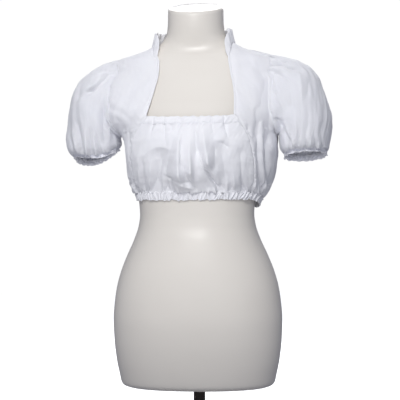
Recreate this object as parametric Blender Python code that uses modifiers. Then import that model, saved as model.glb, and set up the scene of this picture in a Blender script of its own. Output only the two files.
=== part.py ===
"""Dirndl blouse with puff sleeves on a limbless dress form, on a short pole and a round base.

Metres, +Z up. The front faces -Y and the wearer's left is +X. The origin is the middle of the
base's underside. Heights in the tables are above FORM_LEVEL, just over the form's underside.
"""
import math

import bmesh
import bpy
import numpy as np

# Stand and form
FORM_LEVEL = 0.120
BASE_RADIUS = 0.140
BASE_THICKNESS = 0.006
BASE_EDGE = 0.0015
POLE_RADIUS = 0.012
POLE_BEHIND = 0.020
GAP = 0.0003
HEM_GAP = 0.0009

# Cloth
CLOTH = 0.0014
FOLDED_CLOTH = 0.0020
HEM = 0.3735
HEM_CASING = 0.0153
UNDERARM = 0.507
SHOULDER_TIP = 0.662
LEFT_SHOULDER_TIP = 0.6725
ARMHOLE_ANGLE = math.radians(31)
ARMHOLE_STEPS = 10
ARMHOLE_FLARE_REACH = 0.55
BACK_DROP = 0.016
HANG_TURN = math.radians(15)
SHOULDER_TILT = 0.003
NECK_SHIFT = 0.005
NECK_DIP = 0.005

# Waves counted on the garment
HEM_WAVES = 60
CUFF_WAVES = 24
COLLAR_WAVES = 18
CASING_WAVES = 8
FRONT_WAVES = 9
SIDE_WAVES = 2
BACK_WAVES = 8
SLEEVE_HEAD_WAVES = 9
SLEEVE_END_WAVES = 10

# Relief of the gathers and pleats
CASING_RELIEF = 0.0024
CASING_GATHERS_START = 0.470
HEM_RELIEF = 0.0040
HEM_GATHERS_FULL = 0.008
HEM_GATHERS_FADE = (0.012, 0.061)
SLEEVE_HEAD_RELIEF = 0.0045
SLEEVE_END_RELIEF = 0.0042
HEM_CRESTS = (0.0009, 0.0016, 0.0009)
CUFF_CRESTS = (0.0010, 0.0014, 0.0018)
DEEPEST_FOLD = 0.003
FOLD_FREE_EDGE = 0.10

# Collar and binding
BINDING_WIDTH = 0.0034
COLLAR_HEIGHT = 0.0270
COLLAR_RISE_BEHIND = 0.0060
COLLAR_FRILL = 0.0016
COLLAR_START = (0.656, 0.682)
COLLAR_LEAN_SIDE = 0.32
COLLAR_LEAN_BACK = 0.10

# Columns of faces
FORM_COLUMNS = 36
FRONT_COLUMNS = 36
SIDE_COLUMNS = 6
BACK_COLUMNS = 20
BACK_EDGE_SHARE = 0.4
SLEEVE_SPLIT = 2
SLEEVE_HEAD_RINGS = 4
HEAD_OUTWARDS = 1.2
HEAD_DOWNWARDS = 1.7

# height, half width, front depth, back depth, squareness, slope of the ring towards the back
FORM_SECTIONS = (
    (-0.004, 0.1440, 0.0930, 0.0990, 2.30, 0.00),
    (-0.001, 0.1520, 0.1000, 0.1070, 2.30, 0.00),
    (0.0050, 0.1565, 0.1045, 0.1115, 2.30, 0.00),
    (0.0180, 0.1595, 0.1065, 0.1140, 2.30, 0.00),
    (0.0500, 0.1660, 0.1090, 0.1200, 2.30, 0.00),
    (0.0900, 0.1705, 0.1110, 0.1250, 2.30, 0.00),
    (0.1310, 0.1720, 0.1120, 0.1270, 2.30, 0.00),
    (0.1650, 0.1695, 0.1110, 0.1230, 2.30, 0.00),
    (0.1980, 0.1645, 0.1090, 0.1150, 2.28, 0.00),
    (0.2290, 0.1560, 0.1060, 0.1050, 2.26, 0.00),
    (0.2620, 0.1430, 0.1010, 0.0940, 2.24, 0.00),
    (0.2940, 0.1285, 0.0950, 0.0840, 2.22, 0.00),
    (0.3220, 0.1193, 0.0890, 0.0770, 2.20, 0.00),
    (0.3430, 0.1165, 0.0870, 0.0740, 2.20, 0.00),
    (0.3620, 0.1175, 0.0880, 0.0750, 2.20, 0.00),
    (0.3920, 0.1225, 0.0940, 0.0800, 2.25, 0.00),
    (0.4250, 0.1290, 0.1060, 0.0860, 2.35, 0.00),
    (0.4600, 0.1340, 0.1270, 0.0910, 2.50, 0.00),
    (0.4950, 0.1390, 0.1380, 0.0950, 2.60, 0.00),
    (0.5300, 0.1440, 0.1310, 0.0980, 2.55, 0.00),
    (0.5650, 0.1520, 0.1120, 0.0980, 2.45, 0.00),
    (0.6000, 0.1600, 0.0910, 0.0950, 2.35, 0.00),
    (0.6250, 0.1645, 0.0740, 0.0890, 2.30, 0.00),
    (0.6400, 0.1650, 0.0640, 0.0840, 2.25, 0.00),
    (0.6510, 0.1620, 0.0565, 0.0795, 2.20, 0.00),
    (0.6582, 0.1550, 0.0520, 0.0765, 2.20, 0.00),
    (0.6625, 0.1430, 0.0495, 0.0745, 2.15, 0.00),
    (0.6685, 0.1215, 0.0465, 0.0720, 2.10, 0.00),
    (0.6790, 0.0935, 0.0445, 0.0670, 2.05, 0.00),
    (0.6895, 0.0745, 0.0455, 0.0620, 2.00, 0.02),
    (0.6990, 0.0655, 0.0480, 0.0590, 2.00, 0.05),
    (0.7120, 0.0597, 0.0510, 0.0570, 2.00, 0.12),
    (0.7350, 0.0570, 0.0540, 0.0560, 2.00, 0.24),
    (0.7600, 0.0565, 0.0550, 0.0555, 2.00, 0.32),
    (0.7640, 0.0555, 0.0540, 0.0545, 2.00, 0.32),
    (0.7655, 0.0535, 0.0520, 0.0525, 2.00, 0.32),
)

# height, room at the side, in front and behind, between the form and the cloth
EASE_SECTIONS = (
    (0.360, 0.0009, 0.0009, 0.0009),
    (0.3890, 0.0009, 0.0009, 0.0009),
    (0.395, 0.0060, 0.0055, 0.0065),
    (0.402, 0.0110, 0.0105, 0.0125),
    (0.413, 0.0155, 0.0160, 0.0175),
    (0.428, 0.0185, 0.0200, 0.0190),
    (0.446, 0.0195, 0.0170, 0.0170),
    (0.468, 0.0185, 0.0110, 0.0130),
    (0.490, 0.0150, 0.0070, 0.0095),
    (0.507, 0.0115, 0.0050, 0.0070),
    (0.546, 0.0060, 0.0040, 0.0045),
    (0.585, 0.0035, 0.0030, 0.0035),
    (0.623, 0.0028, 0.0028, 0.0030),
    (0.652, 0.0034, 0.0030, 0.0032),
    (0.662, 0.0042, 0.0034, 0.0036),
    (0.690, 0.0050, 0.0040, 0.0042),
)

# height, how far the cloth hangs over to the left, on its left side and on its right side
SIDE_HANG = (
    (0.360, 0.0060, 0.0000),
    (0.389, 0.0080, 0.0000),
    (0.402, 0.0095, 0.0020),
    (0.413, 0.0105, 0.0040),
    (0.446, 0.0110, 0.0075),
    (0.468, 0.0110, 0.0080),
    (0.490, 0.0100, 0.0070),
    (0.520, 0.0050, 0.0030),
    (0.550, 0.0000, 0.0000),
)

# height, distance of the front panels' neck edge from the middle
NECK_EDGE = (
    (0.5390, 0.0880),
    (0.5660, 0.0845),
    (0.5920, 0.0803),
    (0.6240, 0.0742),
    (0.6514, 0.0722),
    (0.6693, 0.0775),
    (0.6800, 0.0785),
    (0.6860, 0.0790),
)

# height, distance of the seams of the middle panel from the middle
PRINCESS_SEAM = (
    (0.360, 0.1060),
    (0.3890, 0.1085),
    (0.412, 0.1180),
    (0.446, 0.1210),
    (0.490, 0.1150),
    (0.517, 0.1020),
    (0.5390, 0.0880),
)

# height, distance of the armhole's edge from the middle where it stands off the form
LEFT_ARMHOLE_EDGE = (
    (0.480, 0.1530),
    (0.508, 0.1590),
    (0.528, 0.1575),
    (0.559, 0.1545),
    (0.589, 0.1535),
    (0.609, 0.1540),
    (0.627, 0.1470),
    (0.644, 0.1310),
    (0.6725, 0.1000),
    (0.6900, 0.0500),
)
RIGHT_ARMHOLE_EDGE = (
    (0.480, 0.1530),
    (0.497, 0.1560),
    (0.527, 0.1670),
    (0.547, 0.1710),
    (0.577, 0.1690),
    (0.605, 0.1670),
    (0.627, 0.1570),
    (0.644, 0.1470),
    (0.662, 0.1200),
    (0.690, 0.0500),
)

# One fold: where it starts and ends on the front, its half width, its height (a groove is negative)
# start x, start height, end x, end height, half width, relief
FRONT_FOLDS = (
    (-0.0150, 0.500, -0.0340, 0.428, 0.0085, 0.0090),
    (-0.0020, 0.500, 0.0075, 0.468, 0.0060, 0.0045),
    (0.0075, 0.466, -0.0137, 0.440, 0.0060, 0.0045),
    (-0.0137, 0.438, 0.0056, 0.402, 0.0065, 0.0050),
    (-0.0195, 0.472, -0.0214, 0.418, 0.0045, -0.0030),
    (0.0310, 0.512, 0.0370, 0.456, 0.0075, 0.0060),
    (0.0191, 0.462, 0.0403, 0.404, 0.0055, -0.0035),
    (-0.0560, 0.440, -0.0520, 0.404, 0.0065, 0.0035),
    (0.0700, 0.440, 0.0740, 0.402, 0.0070, 0.0035),
)

# Sections of the sleeve, from the armhole to the cuff. Outer and inner are the ends of a section
# away from and towards the body, the bow is how far its front and back bend outwards, the sag
# how far they hang, and the skew how far the outer end of the back hangs lower than that of the front.
# outer x, outer height, inner x, inner height, front depth, back depth, drop at the back, bow, sag, skew
RIGHT_SLEEVE = (
    (0.2173, 0.6370, 0.1590, 0.4965, 0.0680, 0.0740, 0.000, 0.0040, 0.0000, 0.0000),
    (0.2410, 0.6165, 0.1588, 0.4952, 0.0715, 0.0775, 0.001, 0.0015, 0.0000, 0.0000),
    (0.2545, 0.5900, 0.1587, 0.4942, 0.0740, 0.0790, 0.003, 0.0000, 0.0000, 0.0000),
    (0.2605, 0.5612, 0.1587, 0.4932, 0.0740, 0.0780, 0.004, 0.0000, 0.0010, 0.0000),
    (0.2648, 0.5286, 0.1588, 0.4924, 0.0720, 0.0760, 0.005, 0.0000, 0.0030, 0.0000),
    (0.2683, 0.5020, 0.1592, 0.4917, 0.0690, 0.0720, 0.006, 0.0000, 0.0060, 0.0020),
    (0.2665, 0.4855, 0.1598, 0.4911, 0.0640, 0.0670, 0.006, 0.0000, 0.0100, 0.0045),
    (0.2600, 0.4742, 0.1606, 0.4905, 0.0560, 0.0590, 0.007, 0.0000, 0.0110, 0.0070),
    (0.2525, 0.4698, 0.1618, 0.4898, 0.0490, 0.0510, 0.007, 0.0000, 0.0120, 0.0094),
)
RIGHT_CUFF = (
    (0.2510, 0.4689, 0.1626, 0.4890, 0.0480, 0.0500, 0.007, 0.0000, 0.0120, 0.0094),
    (0.2490, 0.4646, 0.1641, 0.4842, 0.0465, 0.0485, 0.007, 0.0000, 0.0120, 0.0094),
    (0.2505, 0.4608, 0.1626, 0.4796, 0.0490, 0.0505, 0.007, 0.0000, 0.0120, 0.0094),
)
LEFT_SLEEVE = (
    (0.2090, 0.6515, 0.1685, 0.4915, 0.0720, 0.0770, 0.000, 0.0020, 0.0000, 0.0000),
    (0.2300, 0.6410, 0.1690, 0.4886, 0.0750, 0.0800, 0.001, 0.0000, 0.0000, 0.0000),
    (0.2468, 0.6224, 0.1696, 0.4861, 0.0765, 0.0810, 0.003, 0.0000, 0.0000, 0.0000),
    (0.2590, 0.5939, 0.1704, 0.4837, 0.0775, 0.0810, 0.005, 0.0000, 0.0000, 0.0000),
    (0.2690, 0.5643, 0.1715, 0.4817, 0.0765, 0.0785, 0.008, 0.0000, 0.0000, 0.0000),
    (0.2750, 0.5350, 0.1730, 0.4798, 0.0740, 0.0755, 0.010, 0.0000, 0.0000, 0.0000),
    (0.2735, 0.5098, 0.1750, 0.4781, 0.0700, 0.0705, 0.012, 0.0000, 0.0000, 0.0000),
    (0.2685, 0.4918, 0.1772, 0.4768, 0.0620, 0.0620, 0.014, 0.0000, 0.0000, 0.0000),
    (0.2635, 0.4802, 0.1792, 0.4757, 0.0510, 0.0520, 0.016, 0.0000, 0.0000, 0.0000),
)
LEFT_CUFF = (
    (0.2620, 0.4794, 0.1798, 0.4749, 0.0495, 0.0505, 0.016, 0.0000, 0.0000, 0.0000),
    (0.2607, 0.4743, 0.1813, 0.4697, 0.0475, 0.0490, 0.016, 0.0000, 0.0000, 0.0000),
    (0.2630, 0.4697, 0.1798, 0.4651, 0.0500, 0.0510, 0.016, 0.0000, 0.0000, 0.0000),
)

LEFT, RIGHT = 1, -1


def smooth_table(table):
    """A function of height that runs smoothly through the table's rows, without overshoot."""
    rows = np.array(table, float)
    at, values = rows[:, 0], rows[:, 1:]
    step = np.diff(at)[:, None]
    secant = np.diff(values, axis=0) / step
    slope = np.zeros_like(values)
    slope[0], slope[-1] = secant[0], secant[-1]
    before, after = secant[:-1], secant[1:]
    same_way = before * after > 0
    slope[1:-1][same_way] = (2 * before * after)[same_way] / (before + after)[same_way]

    def read(height):
        height = np.clip(np.asarray(height, float), at[0], at[-1])
        i = np.clip(np.searchsorted(at, height, side="right") - 1, 0, len(at) - 2)
        width = (at[i + 1] - at[i])[..., None]
        t = ((height - at[i]))[..., None] / width
        start = (1 + 2 * t) * (1 - t) ** 2 * values[i] + t * (1 - t) ** 2 * width * slope[i]
        end = t * t * (3 - 2 * t) * values[i + 1] + t * t * (t - 1) * width * slope[i + 1]
        return start + end

    return read


form_section = smooth_table(FORM_SECTIONS)
ease_section = smooth_table(EASE_SECTIONS)
side_hang = smooth_table(SIDE_HANG)
neck_edge = smooth_table(NECK_EDGE)
princess_seam = smooth_table(PRINCESS_SEAM)
left_armhole_edge = smooth_table(LEFT_ARMHOLE_EDGE)
right_armhole_edge = smooth_table(RIGHT_ARMHOLE_EDGE)


def power(value, exponent):
    return np.sign(value) * np.abs(value) ** exponent


def ramp(value, low, high):
    """0 below low and 1 above high, smooth between them."""
    t = np.clip((value - low) / (high - low), 0, 1)
    return t * t * (3 - 2 * t)


def ring_point(angle, height, side_room, front_room, back_room):
    """A point of the form's section at that height, moved out by the room given."""
    section = form_section(height)
    width, front, back, square, slope = (section[..., i] for i in range(5))
    sine = np.sin(angle)
    x = (width + side_room) * power(np.cos(angle), 2 / square)
    y = np.where(sine < 0, front + front_room, back + back_room) * power(sine, 2 / square)
    return np.stack([x, y, height + slope * y], axis=-1)


def cloth_height(angle, height):
    """The cloth's rows hang lower behind, and a little higher on the left shoulder."""
    behind = ramp(np.sin(angle) + 0.25 * np.cos(angle), -0.25, 0.60)
    drop = BACK_DROP * behind * (1 - ramp(height, HEM, UNDERARM + 0.05))
    return height - drop + SHOULDER_TILT * np.cos(angle) * ramp(height, UNDERARM, SHOULDER_TIP)


def armhole_flare(angle, height):
    """How far the cloth round the armholes stands off the form, to the side."""
    from_side = np.abs(np.arcsin(np.clip(np.sin(angle), -1, 1)))
    section, room = form_section(height), ease_section(height)
    left = np.cos(angle) > 0
    edge = np.where(left, armhole_angle(height, LEFT), armhole_angle(height, RIGHT))
    plain = (section[..., 0] + room[..., 0]) * np.cos(edge) ** (2 / section[..., 3])
    wanted = np.where(left, left_armhole_edge(height)[..., 0], right_armhole_edge(height)[..., 0])
    near = 1 - ramp(from_side, edge, edge + ARMHOLE_FLARE_REACH)
    inside = ramp(height, UNDERARM - 0.05, UNDERARM + 0.012)
    return np.sign(np.cos(angle)) * np.clip(wanted - plain, 0, None) * near * inside


def cloth_point(angle, height):
    """A point on the inner face of the blouse, before any fold."""
    angle, height = np.broadcast_arrays(np.asarray(angle, float), np.asarray(height, float))
    room = ease_section(height)
    point = ring_point(angle, cloth_height(angle, height), room[..., 0], room[..., 1], room[..., 2])
    hang = side_hang(height)
    point[..., 0] += armhole_flare(angle, height)
    point[..., 0] += hang[..., 0] * ramp(np.cos(angle - HANG_TURN), 0.45, 1)
    point[..., 0] += hang[..., 1] * ramp(np.cos(angle + HANG_TURN + np.pi), 0.45, 1)
    return point


def unit(vectors):
    return vectors / np.maximum(np.linalg.norm(vectors, axis=-1, keepdims=True), 1e-12)


def cloth_normal(angle, height):
    turn, rise = 0.02, 0.0008
    across = cloth_point(angle + turn, height) - cloth_point(angle - turn, height)
    up = cloth_point(angle, height + rise) - cloth_point(angle, height - rise)
    return unit(np.cross(across, up))


def angle_at(distance, height):
    """The angle, from the side towards the front, at which the cloth is that far from the middle."""
    square = form_section(height)[..., 3]
    width = form_section(height)[..., 0] + ease_section(height)[..., 0]
    return -np.arccos(np.clip(distance / width, 0, 1) ** (square / 2))


def mirrored(angle, side):
    return angle if side == LEFT else math.pi - angle


def armhole_heights():
    middle, half = (UNDERARM + SHOULDER_TIP) / 2, (SHOULDER_TIP - UNDERARM) / 2
    return middle - half * np.cos(np.pi * np.arange(ARMHOLE_STEPS + 1) / ARMHOLE_STEPS)


def armhole_angle(height, side):
    """Half the armhole's opening as an angle. It is 0 below the underarm and above the shoulder tip."""
    tip = LEFT_SHOULDER_TIP if side == LEFT else SHOULDER_TIP
    middle, half = (UNDERARM + tip) / 2, (tip - UNDERARM) / 2
    return ARMHOLE_ANGLE * np.sqrt(np.clip(1 - ((height - middle) / half) ** 2, 0, 1)) ** 0.85


LOWER_ROWS = np.array([HEM + HEM_CASING, 0.395, 0.402, 0.413, 0.428, 0.446, 0.468, 0.490])
ARMHOLE_ROWS = armhole_heights()
UPPER_ROWS = np.array([0.6675, LEFT_SHOULDER_TIP, 0.6790, 0.6860])
CLOTH_ROWS = np.concatenate([LOWER_ROWS, ARMHOLE_ROWS, UPPER_ROWS])
CORNER_ROW = len(LOWER_ROWS) + 3
FRONT_CASING_ROW = CORNER_ROW - 1


def seam_step(angle, height):
    """The angle that half a seam's gap spans."""
    speed = np.linalg.norm(cloth_point(angle + 0.01, height) - cloth_point(angle - 0.01, height), axis=-1)
    return GAP / 2 * 0.02 / speed


def panel_grid(starts, ends, heights, columns, edge_share=1.0):
    """Angles, heights and shares across of a panel's points, with half a seam's gap at each edge.
    The columns keep the first row's angles but for that share next to each edge."""
    starts = starts + seam_step(starts, heights)
    ends = ends - seam_step(ends, heights)
    share, rows = np.meshgrid(np.linspace(0, 1, columns + 1), heights)
    if edge_share < 1:
        angles = starts[0] + (ends[0] - starts[0]) * share
        angles = angles + (starts - starts[0])[:, None] * (1 - ramp(share, 0, edge_share))
        angles = angles + (ends - ends[0])[:, None] * ramp(share, 1 - edge_share, 1)
    else:
        angles = starts[:, None] + (ends - starts)[:, None] * share
    return angles, rows, share


def fold_relief(x, height, folds):
    """How far hand-placed folds move the cloth, by the distance to each fold's line."""
    total = np.zeros_like(x)
    for start_x, start_height, end_x, end_height, half_width, relief in folds:
        run = np.array([end_x - start_x, end_height - start_height])
        share = np.clip(((x - start_x) * run[0] + (height - start_height) * run[1]) / (run @ run), 0, 1)
        away = np.hypot(x - start_x - share * run[0], height - start_height - share * run[1])
        total += relief * np.exp(-((away / half_width) ** 2))
    return total


def waves(share, count):
    """Gathers from 0 at both edges of a panel, always outwards."""
    return (1 - np.cos(2 * np.pi * count * share)) / 2


def hem_gathers(share, heights, count):
    """Gathers that rise from the hem casing and fade out above it."""
    above = heights - HEM - HEM_CASING
    shown = ramp(above, 0, HEM_GATHERS_FULL) * (1 - ramp(above, *HEM_GATHERS_FADE))
    return HEM_RELIEF * waves(share, count) * shown


def wall_mesh(name, inner, outer, closed):
    """A cloth wall between two grids of points, closed round or with four edges."""
    rows, columns = inner.shape[:2]
    points = np.concatenate([inner.reshape(-1, 3), outer.reshape(-1, 3)])
    outside = rows * columns
    faces = []
    for r in range(rows - 1):
        for c in range(columns if closed else columns - 1):
            a, b = r * columns + c, r * columns + (c + 1) % columns
            d, e = a + columns, b + columns
            faces += [(a + outside, b + outside, e + outside), (a + outside, e + outside, d + outside)]
            faces += [(b, a, e), (e, a, d)]
    top_row = (rows - 1) * columns
    if closed:
        border = [[*range(columns), 0], [top_row + c % columns for c in range(columns, -1, -1)]]
    else:
        right = [r * columns + columns - 1 for r in range(1, rows)]
        top = [top_row + c for c in range(columns - 2, -1, -1)]
        left = [r * columns for r in range(rows - 2, -1, -1)]
        border = [[*range(columns)] + right + top + left]
    for loop in border:
        faces += [(a, b, b + outside, a + outside) for a, b in zip(loop, loop[1:])]
    return mesh_from(name, points, faces)


def mesh_from(name, points, faces):
    mesh = bpy.data.meshes.new(name)
    mesh.from_pydata([tuple(p) for p in points], [], faces)
    shape = bmesh.new()
    shape.from_mesh(mesh)
    bmesh.ops.recalc_face_normals(shape, faces=shape.faces)
    shape.to_mesh(mesh)
    shape.free()
    mesh.shade_smooth()
    return mesh


def grid_normals(grid, closed):
    """Normals of a grid of points, from the differences between neighbours."""
    if closed:
        across = np.roll(grid, -1, axis=1) - np.roll(grid, 1, axis=1)
    else:
        across = np.gradient(grid, axis=1)
    return unit(np.cross(across, np.gradient(grid, axis=0)))


def material(name, colour, roughness, metallic=0.0):
    made = bpy.data.materials.new(name)
    made.use_nodes = True
    shader = made.node_tree.nodes["Principled BSDF"]
    shader.inputs["Base Color"].default_value = (*colour, 1)
    shader.inputs["Roughness"].default_value = roughness
    shader.inputs["Metallic"].default_value = metallic
    return made


def add_node(name, mesh, finish, parent):
    node = bpy.data.objects.new(name, mesh)
    node.data.materials.append(finish)
    node.parent = parent
    collection.objects.link(node)
    return node


def make_form(finish, parent):
    """The dress form: rings from the underside to the slanting neck top, closed at both ends."""
    heights = [row[0] for row in FORM_SECTIONS]
    angles = 2 * np.pi * np.arange(FORM_COLUMNS) / FORM_COLUMNS
    rings = ring_point(angles[None, :], np.array(heights)[:, None], 0, 0, 0)
    count = FORM_COLUMNS
    faces = [tuple(range(count)), tuple((len(heights) - 1) * count + c for c in range(count))]
    for r in range(len(heights) - 1):
        for c in range(count):
            a, b = r * count + c, r * count + (c + 1) % count
            faces.append((a, b, b + count, a + count))
    mesh = mesh_from("dress_form", rings.reshape(-1, 3), faces)
    mesh.set_sharp_from_angle(angle=math.radians(50))
    return add_node("dress_form", mesh, finish, parent)


def panel(name, angles, heights, relief, finish, parent, thickness=CLOTH):
    normals = cloth_normal(angles, heights)
    inner = cloth_point(angles, heights) + relief[..., None] * normals
    outer = inner + thickness * normals
    return add_node(name, wall_mesh(name, inner, outer, closed=False), finish, parent)


def middle_heights(angles, heights):
    """The middle panel's rows sag between the corners of the neckline."""
    sag = NECK_DIP * np.clip(-np.sin(angles), 0, 1) ** 6
    return heights - sag * ramp(heights, UNDERARM, CLOTH_ROWS[CORNER_ROW])


def make_front_middle(finish, parent):
    """The gathered panel between the seams that run down from the corners of the neckline."""
    rows = CLOTH_ROWS[: FRONT_CASING_ROW + 1].copy()
    rows[0] += HEM_GAP
    seam = angle_at(princess_seam(rows)[:, 0], rows)
    angles, heights, share = panel_grid(-math.pi - seam, seam, rows, FRONT_COLUMNS)
    top = middle_heights(angles, heights)
    x = cloth_point(angles, top)[..., 0]
    edge = ramp(share, 0, FOLD_FREE_EDGE) * (1 - ramp(share, 1 - FOLD_FREE_EDGE, 1))
    casing = ramp(heights, CASING_GATHERS_START, CLOTH_ROWS[FRONT_CASING_ROW])
    relief = fold_relief(x, top, FRONT_FOLDS) * edge
    relief = relief + hem_gathers(share, heights, FRONT_WAVES)
    relief = relief + CASING_RELIEF * waves(share, CASING_WAVES) * casing
    relief = np.maximum(relief, -DEEPEST_FOLD)
    return panel("front_middle", angles, top, relief, finish, parent)


def make_front_casing(finish, parent):
    """The folded, gathered casing along the neckline's lower edge."""
    low, high = CLOTH_ROWS[FRONT_CASING_ROW] + GAP, CLOTH_ROWS[CORNER_ROW]
    rows = np.array([low, (low + high) / 2, high])
    seam = angle_at(princess_seam(rows)[:, 0], rows)
    angles, heights, share = panel_grid(-math.pi - seam, seam, rows, FRONT_COLUMNS)
    top = middle_heights(angles, heights)
    relief = CASING_RELIEF * waves(share, CASING_WAVES)
    return panel("front_casing", angles, top, relief, finish, parent, FOLDED_CLOTH)


def neck_distance(rows, side):
    """The neck edge's distance from the middle. The neckline hangs a little towards the left."""
    share = np.clip((rows - CLOTH_ROWS[CORNER_ROW]) / (SHOULDER_TIP - CLOTH_ROWS[CORNER_ROW]), 0, 1)
    return neck_edge(rows)[:, 0] + side * NECK_SHIFT * np.sin(np.pi * share)


def make_front_side(side, finish, parent):
    """From the shoulder to the hem, between the neck edge or the seam below it and the armhole."""
    rows = CLOTH_ROWS.copy()
    rows[0] += HEM_GAP
    edge = np.where(rows < CLOTH_ROWS[CORNER_ROW], princess_seam(rows)[:, 0], neck_distance(rows, side))
    inner_edge = angle_at(edge, rows)
    outer_edge = -armhole_angle(rows, side)
    angles, heights, share = panel_grid(inner_edge, outer_edge, rows, SIDE_COLUMNS)
    relief = hem_gathers(share, heights, SIDE_WAVES)
    if side == RIGHT:
        angles, heights, relief = (values[:, ::-1] for values in (math.pi - angles, heights, relief))
    name = "front_side_left" if side == LEFT else "front_side_right"
    return panel(name, angles, heights, relief, finish, parent)


def make_back(finish, parent):
    rows = CLOTH_ROWS.copy()
    rows[0] += HEM_GAP
    start, end = armhole_angle(rows, LEFT), math.pi - armhole_angle(rows, RIGHT)
    angles, heights, share = panel_grid(start, end, rows, BACK_COLUMNS, BACK_EDGE_SHARE)
    relief = hem_gathers(share, heights, BACK_WAVES)
    return panel("back", angles, heights, relief, finish, parent)


def make_hem_casing(finish, parent):
    """The elastic casing at the hem, a plain ring inside with small gathers outside."""
    columns = 2 * HEM_WAVES
    angles = 2 * np.pi * np.arange(columns) / columns
    heights = np.array([HEM, HEM + HEM_CASING / 2, HEM + HEM_CASING])
    angles, heights = np.meshgrid(angles, heights)
    normals = cloth_normal(angles, heights)
    inner = cloth_point(angles, heights)
    crest = np.array(HEM_CRESTS)[:, None] * (np.arange(columns) % 2)
    outer = inner + (FOLDED_CLOTH + crest)[..., None] * normals
    return add_node("hem_casing", wall_mesh("hem_casing", inner, outer, closed=True), finish, parent)


def between(points, splits):
    """A closed loop's points with straight steps between them."""
    following = np.roll(points, -1, axis=0)
    return np.stack([points + (following - points) * k / splits for k in range(splits)], axis=1).reshape(-1, 3)


def armhole_loop(side):
    """The sleeve's first ring, on the cloth's outer face along the armhole's edge, from the tip
    down the back and up the front, and the directions in which the sleeve leaves it."""
    tip = LEFT_SHOULDER_TIP if side == LEFT else SHOULDER_TIP
    heights = CLOTH_ROWS[(CLOTH_ROWS >= UNDERARM) & (CLOTH_ROWS <= tip)]
    back = armhole_angle(heights, side)[::-1]
    front = -armhole_angle(heights, side)[1:-1]
    angles = mirrored(np.concatenate([back, front]), side)
    rows = np.concatenate([heights[::-1], heights[1:-1]])
    normals = cloth_normal(angles, rows)
    edge = cloth_point(angles, rows) + (1.5 * CLOTH + GAP) * normals
    leaving = normals + HEAD_OUTWARDS * np.array([side, 0, 0])
    leaving[:, 2] -= HEAD_DOWNWARDS * np.clip(normals[:, 2], 0, 1)
    return between(edge, SLEEVE_SPLIT), unit(between(unit(leaving), SLEEVE_SPLIT))


def sleeve_head(loop, leaving, rings):
    """Rings that bend smoothly from the armhole to the sleeve's first section."""
    onward = unit(rings[1] - rings[0])
    reach = np.linalg.norm(rings[0] - loop, axis=1, keepdims=True)
    head = []
    for step in range(SLEEVE_HEAD_RINGS):
        t = step / SLEEVE_HEAD_RINGS
        ring = (1 + 2 * t) * (1 - t) ** 2 * loop + t * t * (3 - 2 * t) * rings[0]
        head.append(ring + t * (1 - t) ** 2 * reach * leaving + t * t * (t - 1) * reach * onward)
    return np.array(head)


def sleeve_rings(side, sections, columns):
    """The sections as rings. Each starts at its outer end and runs round by the back."""
    turn = 2 * np.pi * np.arange(columns) / columns
    rings = []
    for outer_x, outer_z, inner_x, inner_z, front, back, drop, bow, sag, skew in sections:
        outer, inner = np.array([outer_x, 0, outer_z]), np.array([inner_x, 0, inner_z])
        depth = np.where(np.sin(turn) > 0, back, front) * np.sin(turn)
        ring = (outer + inner) / 2 + np.cos(turn)[:, None] * (outer - inner) / 2
        ring = ring + depth[:, None] * np.array([0, 1, 0])
        ring[:, 0] += bow * np.sin(turn) ** 2
        ring[:, 2] -= drop * (1 + np.sin(turn)) / 2
        ring[:, 2] -= (sag * np.sin(turn) + skew * np.cos(turn)) * np.sin(turn)
        ring[:, 0] *= side
        rings.append(ring)
    return np.array(rings)


def in_plane_normals(ring):
    """Normals of a ring within its own plane, pointing away from its middle."""
    middle = ring.mean(axis=0)
    axis = unit(np.cross(ring[0] - middle, ring[len(ring) // 4] - middle))
    normals = unit(np.cross(np.roll(ring, -1, axis=0) - np.roll(ring, 1, axis=0), axis))
    return normals if ((ring - middle) * normals).sum() > 0 else -normals


def tube_wall(name, rings, relief, thickness, finish, parent, side, outer_relief=None):
    """A wall round rings that run away from the body, moved out by the relief."""
    normals = grid_normals(rings, closed=True) * -side
    normals[-1] = in_plane_normals(rings[-1])
    middle = rings + relief[..., None] * normals
    inner = middle - thickness / 2 * normals
    outer = middle + thickness / 2 * normals
    if outer_relief is not None:
        outer = outer + outer_relief[..., None] * normals
    return add_node(name, wall_mesh(name, inner, outer, closed=True), finish, parent)


def make_sleeve(side, sections, finish, parent):
    """A puff sleeve: pleats from the top of the armhole, and gathers above the cuff."""
    loop, leaving = armhole_loop(side)
    columns = len(loop)
    rings = sleeve_rings(side, sections, columns)
    rings = np.concatenate([sleeve_head(loop, leaving, rings), rings])
    share = np.arange(columns) / columns
    along = np.arange(len(rings))[:, None] / (len(rings) - 1)
    top_half = ramp(np.cos(2 * np.pi * share), -0.2, 0.5)
    head = SLEEVE_HEAD_RELIEF * waves(share, 2 * SLEEVE_HEAD_WAVES - 2) * top_half
    head = head * ramp(along, 0, 0.16) * (1 - ramp(along, 0.20, 0.55))
    end = SLEEVE_END_RELIEF * waves(share, SLEEVE_END_WAVES)
    end = end * ramp(along, 0.70, 0.90) * (1 - 0.5 * ramp(along, 0.90, 1))
    name = "sleeve_left" if side == LEFT else "sleeve_right"
    return tube_wall(name, rings, head + end, CLOTH, finish, parent, side)


def make_cuff(side, sections, finish, parent):
    """The narrow elastic cuff, with small gathers outside a plain ring."""
    columns = 2 * CUFF_WAVES
    rings = sleeve_rings(side, sections, columns)
    crest = np.array(CUFF_CRESTS)[:, None] * (np.arange(columns) % 2)
    name = "cuff_left" if side == LEFT else "cuff_right"
    return tube_wall(name, rings, np.zeros(rings.shape[:2]), FOLDED_CLOTH, finish, parent, side, crest)


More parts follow.
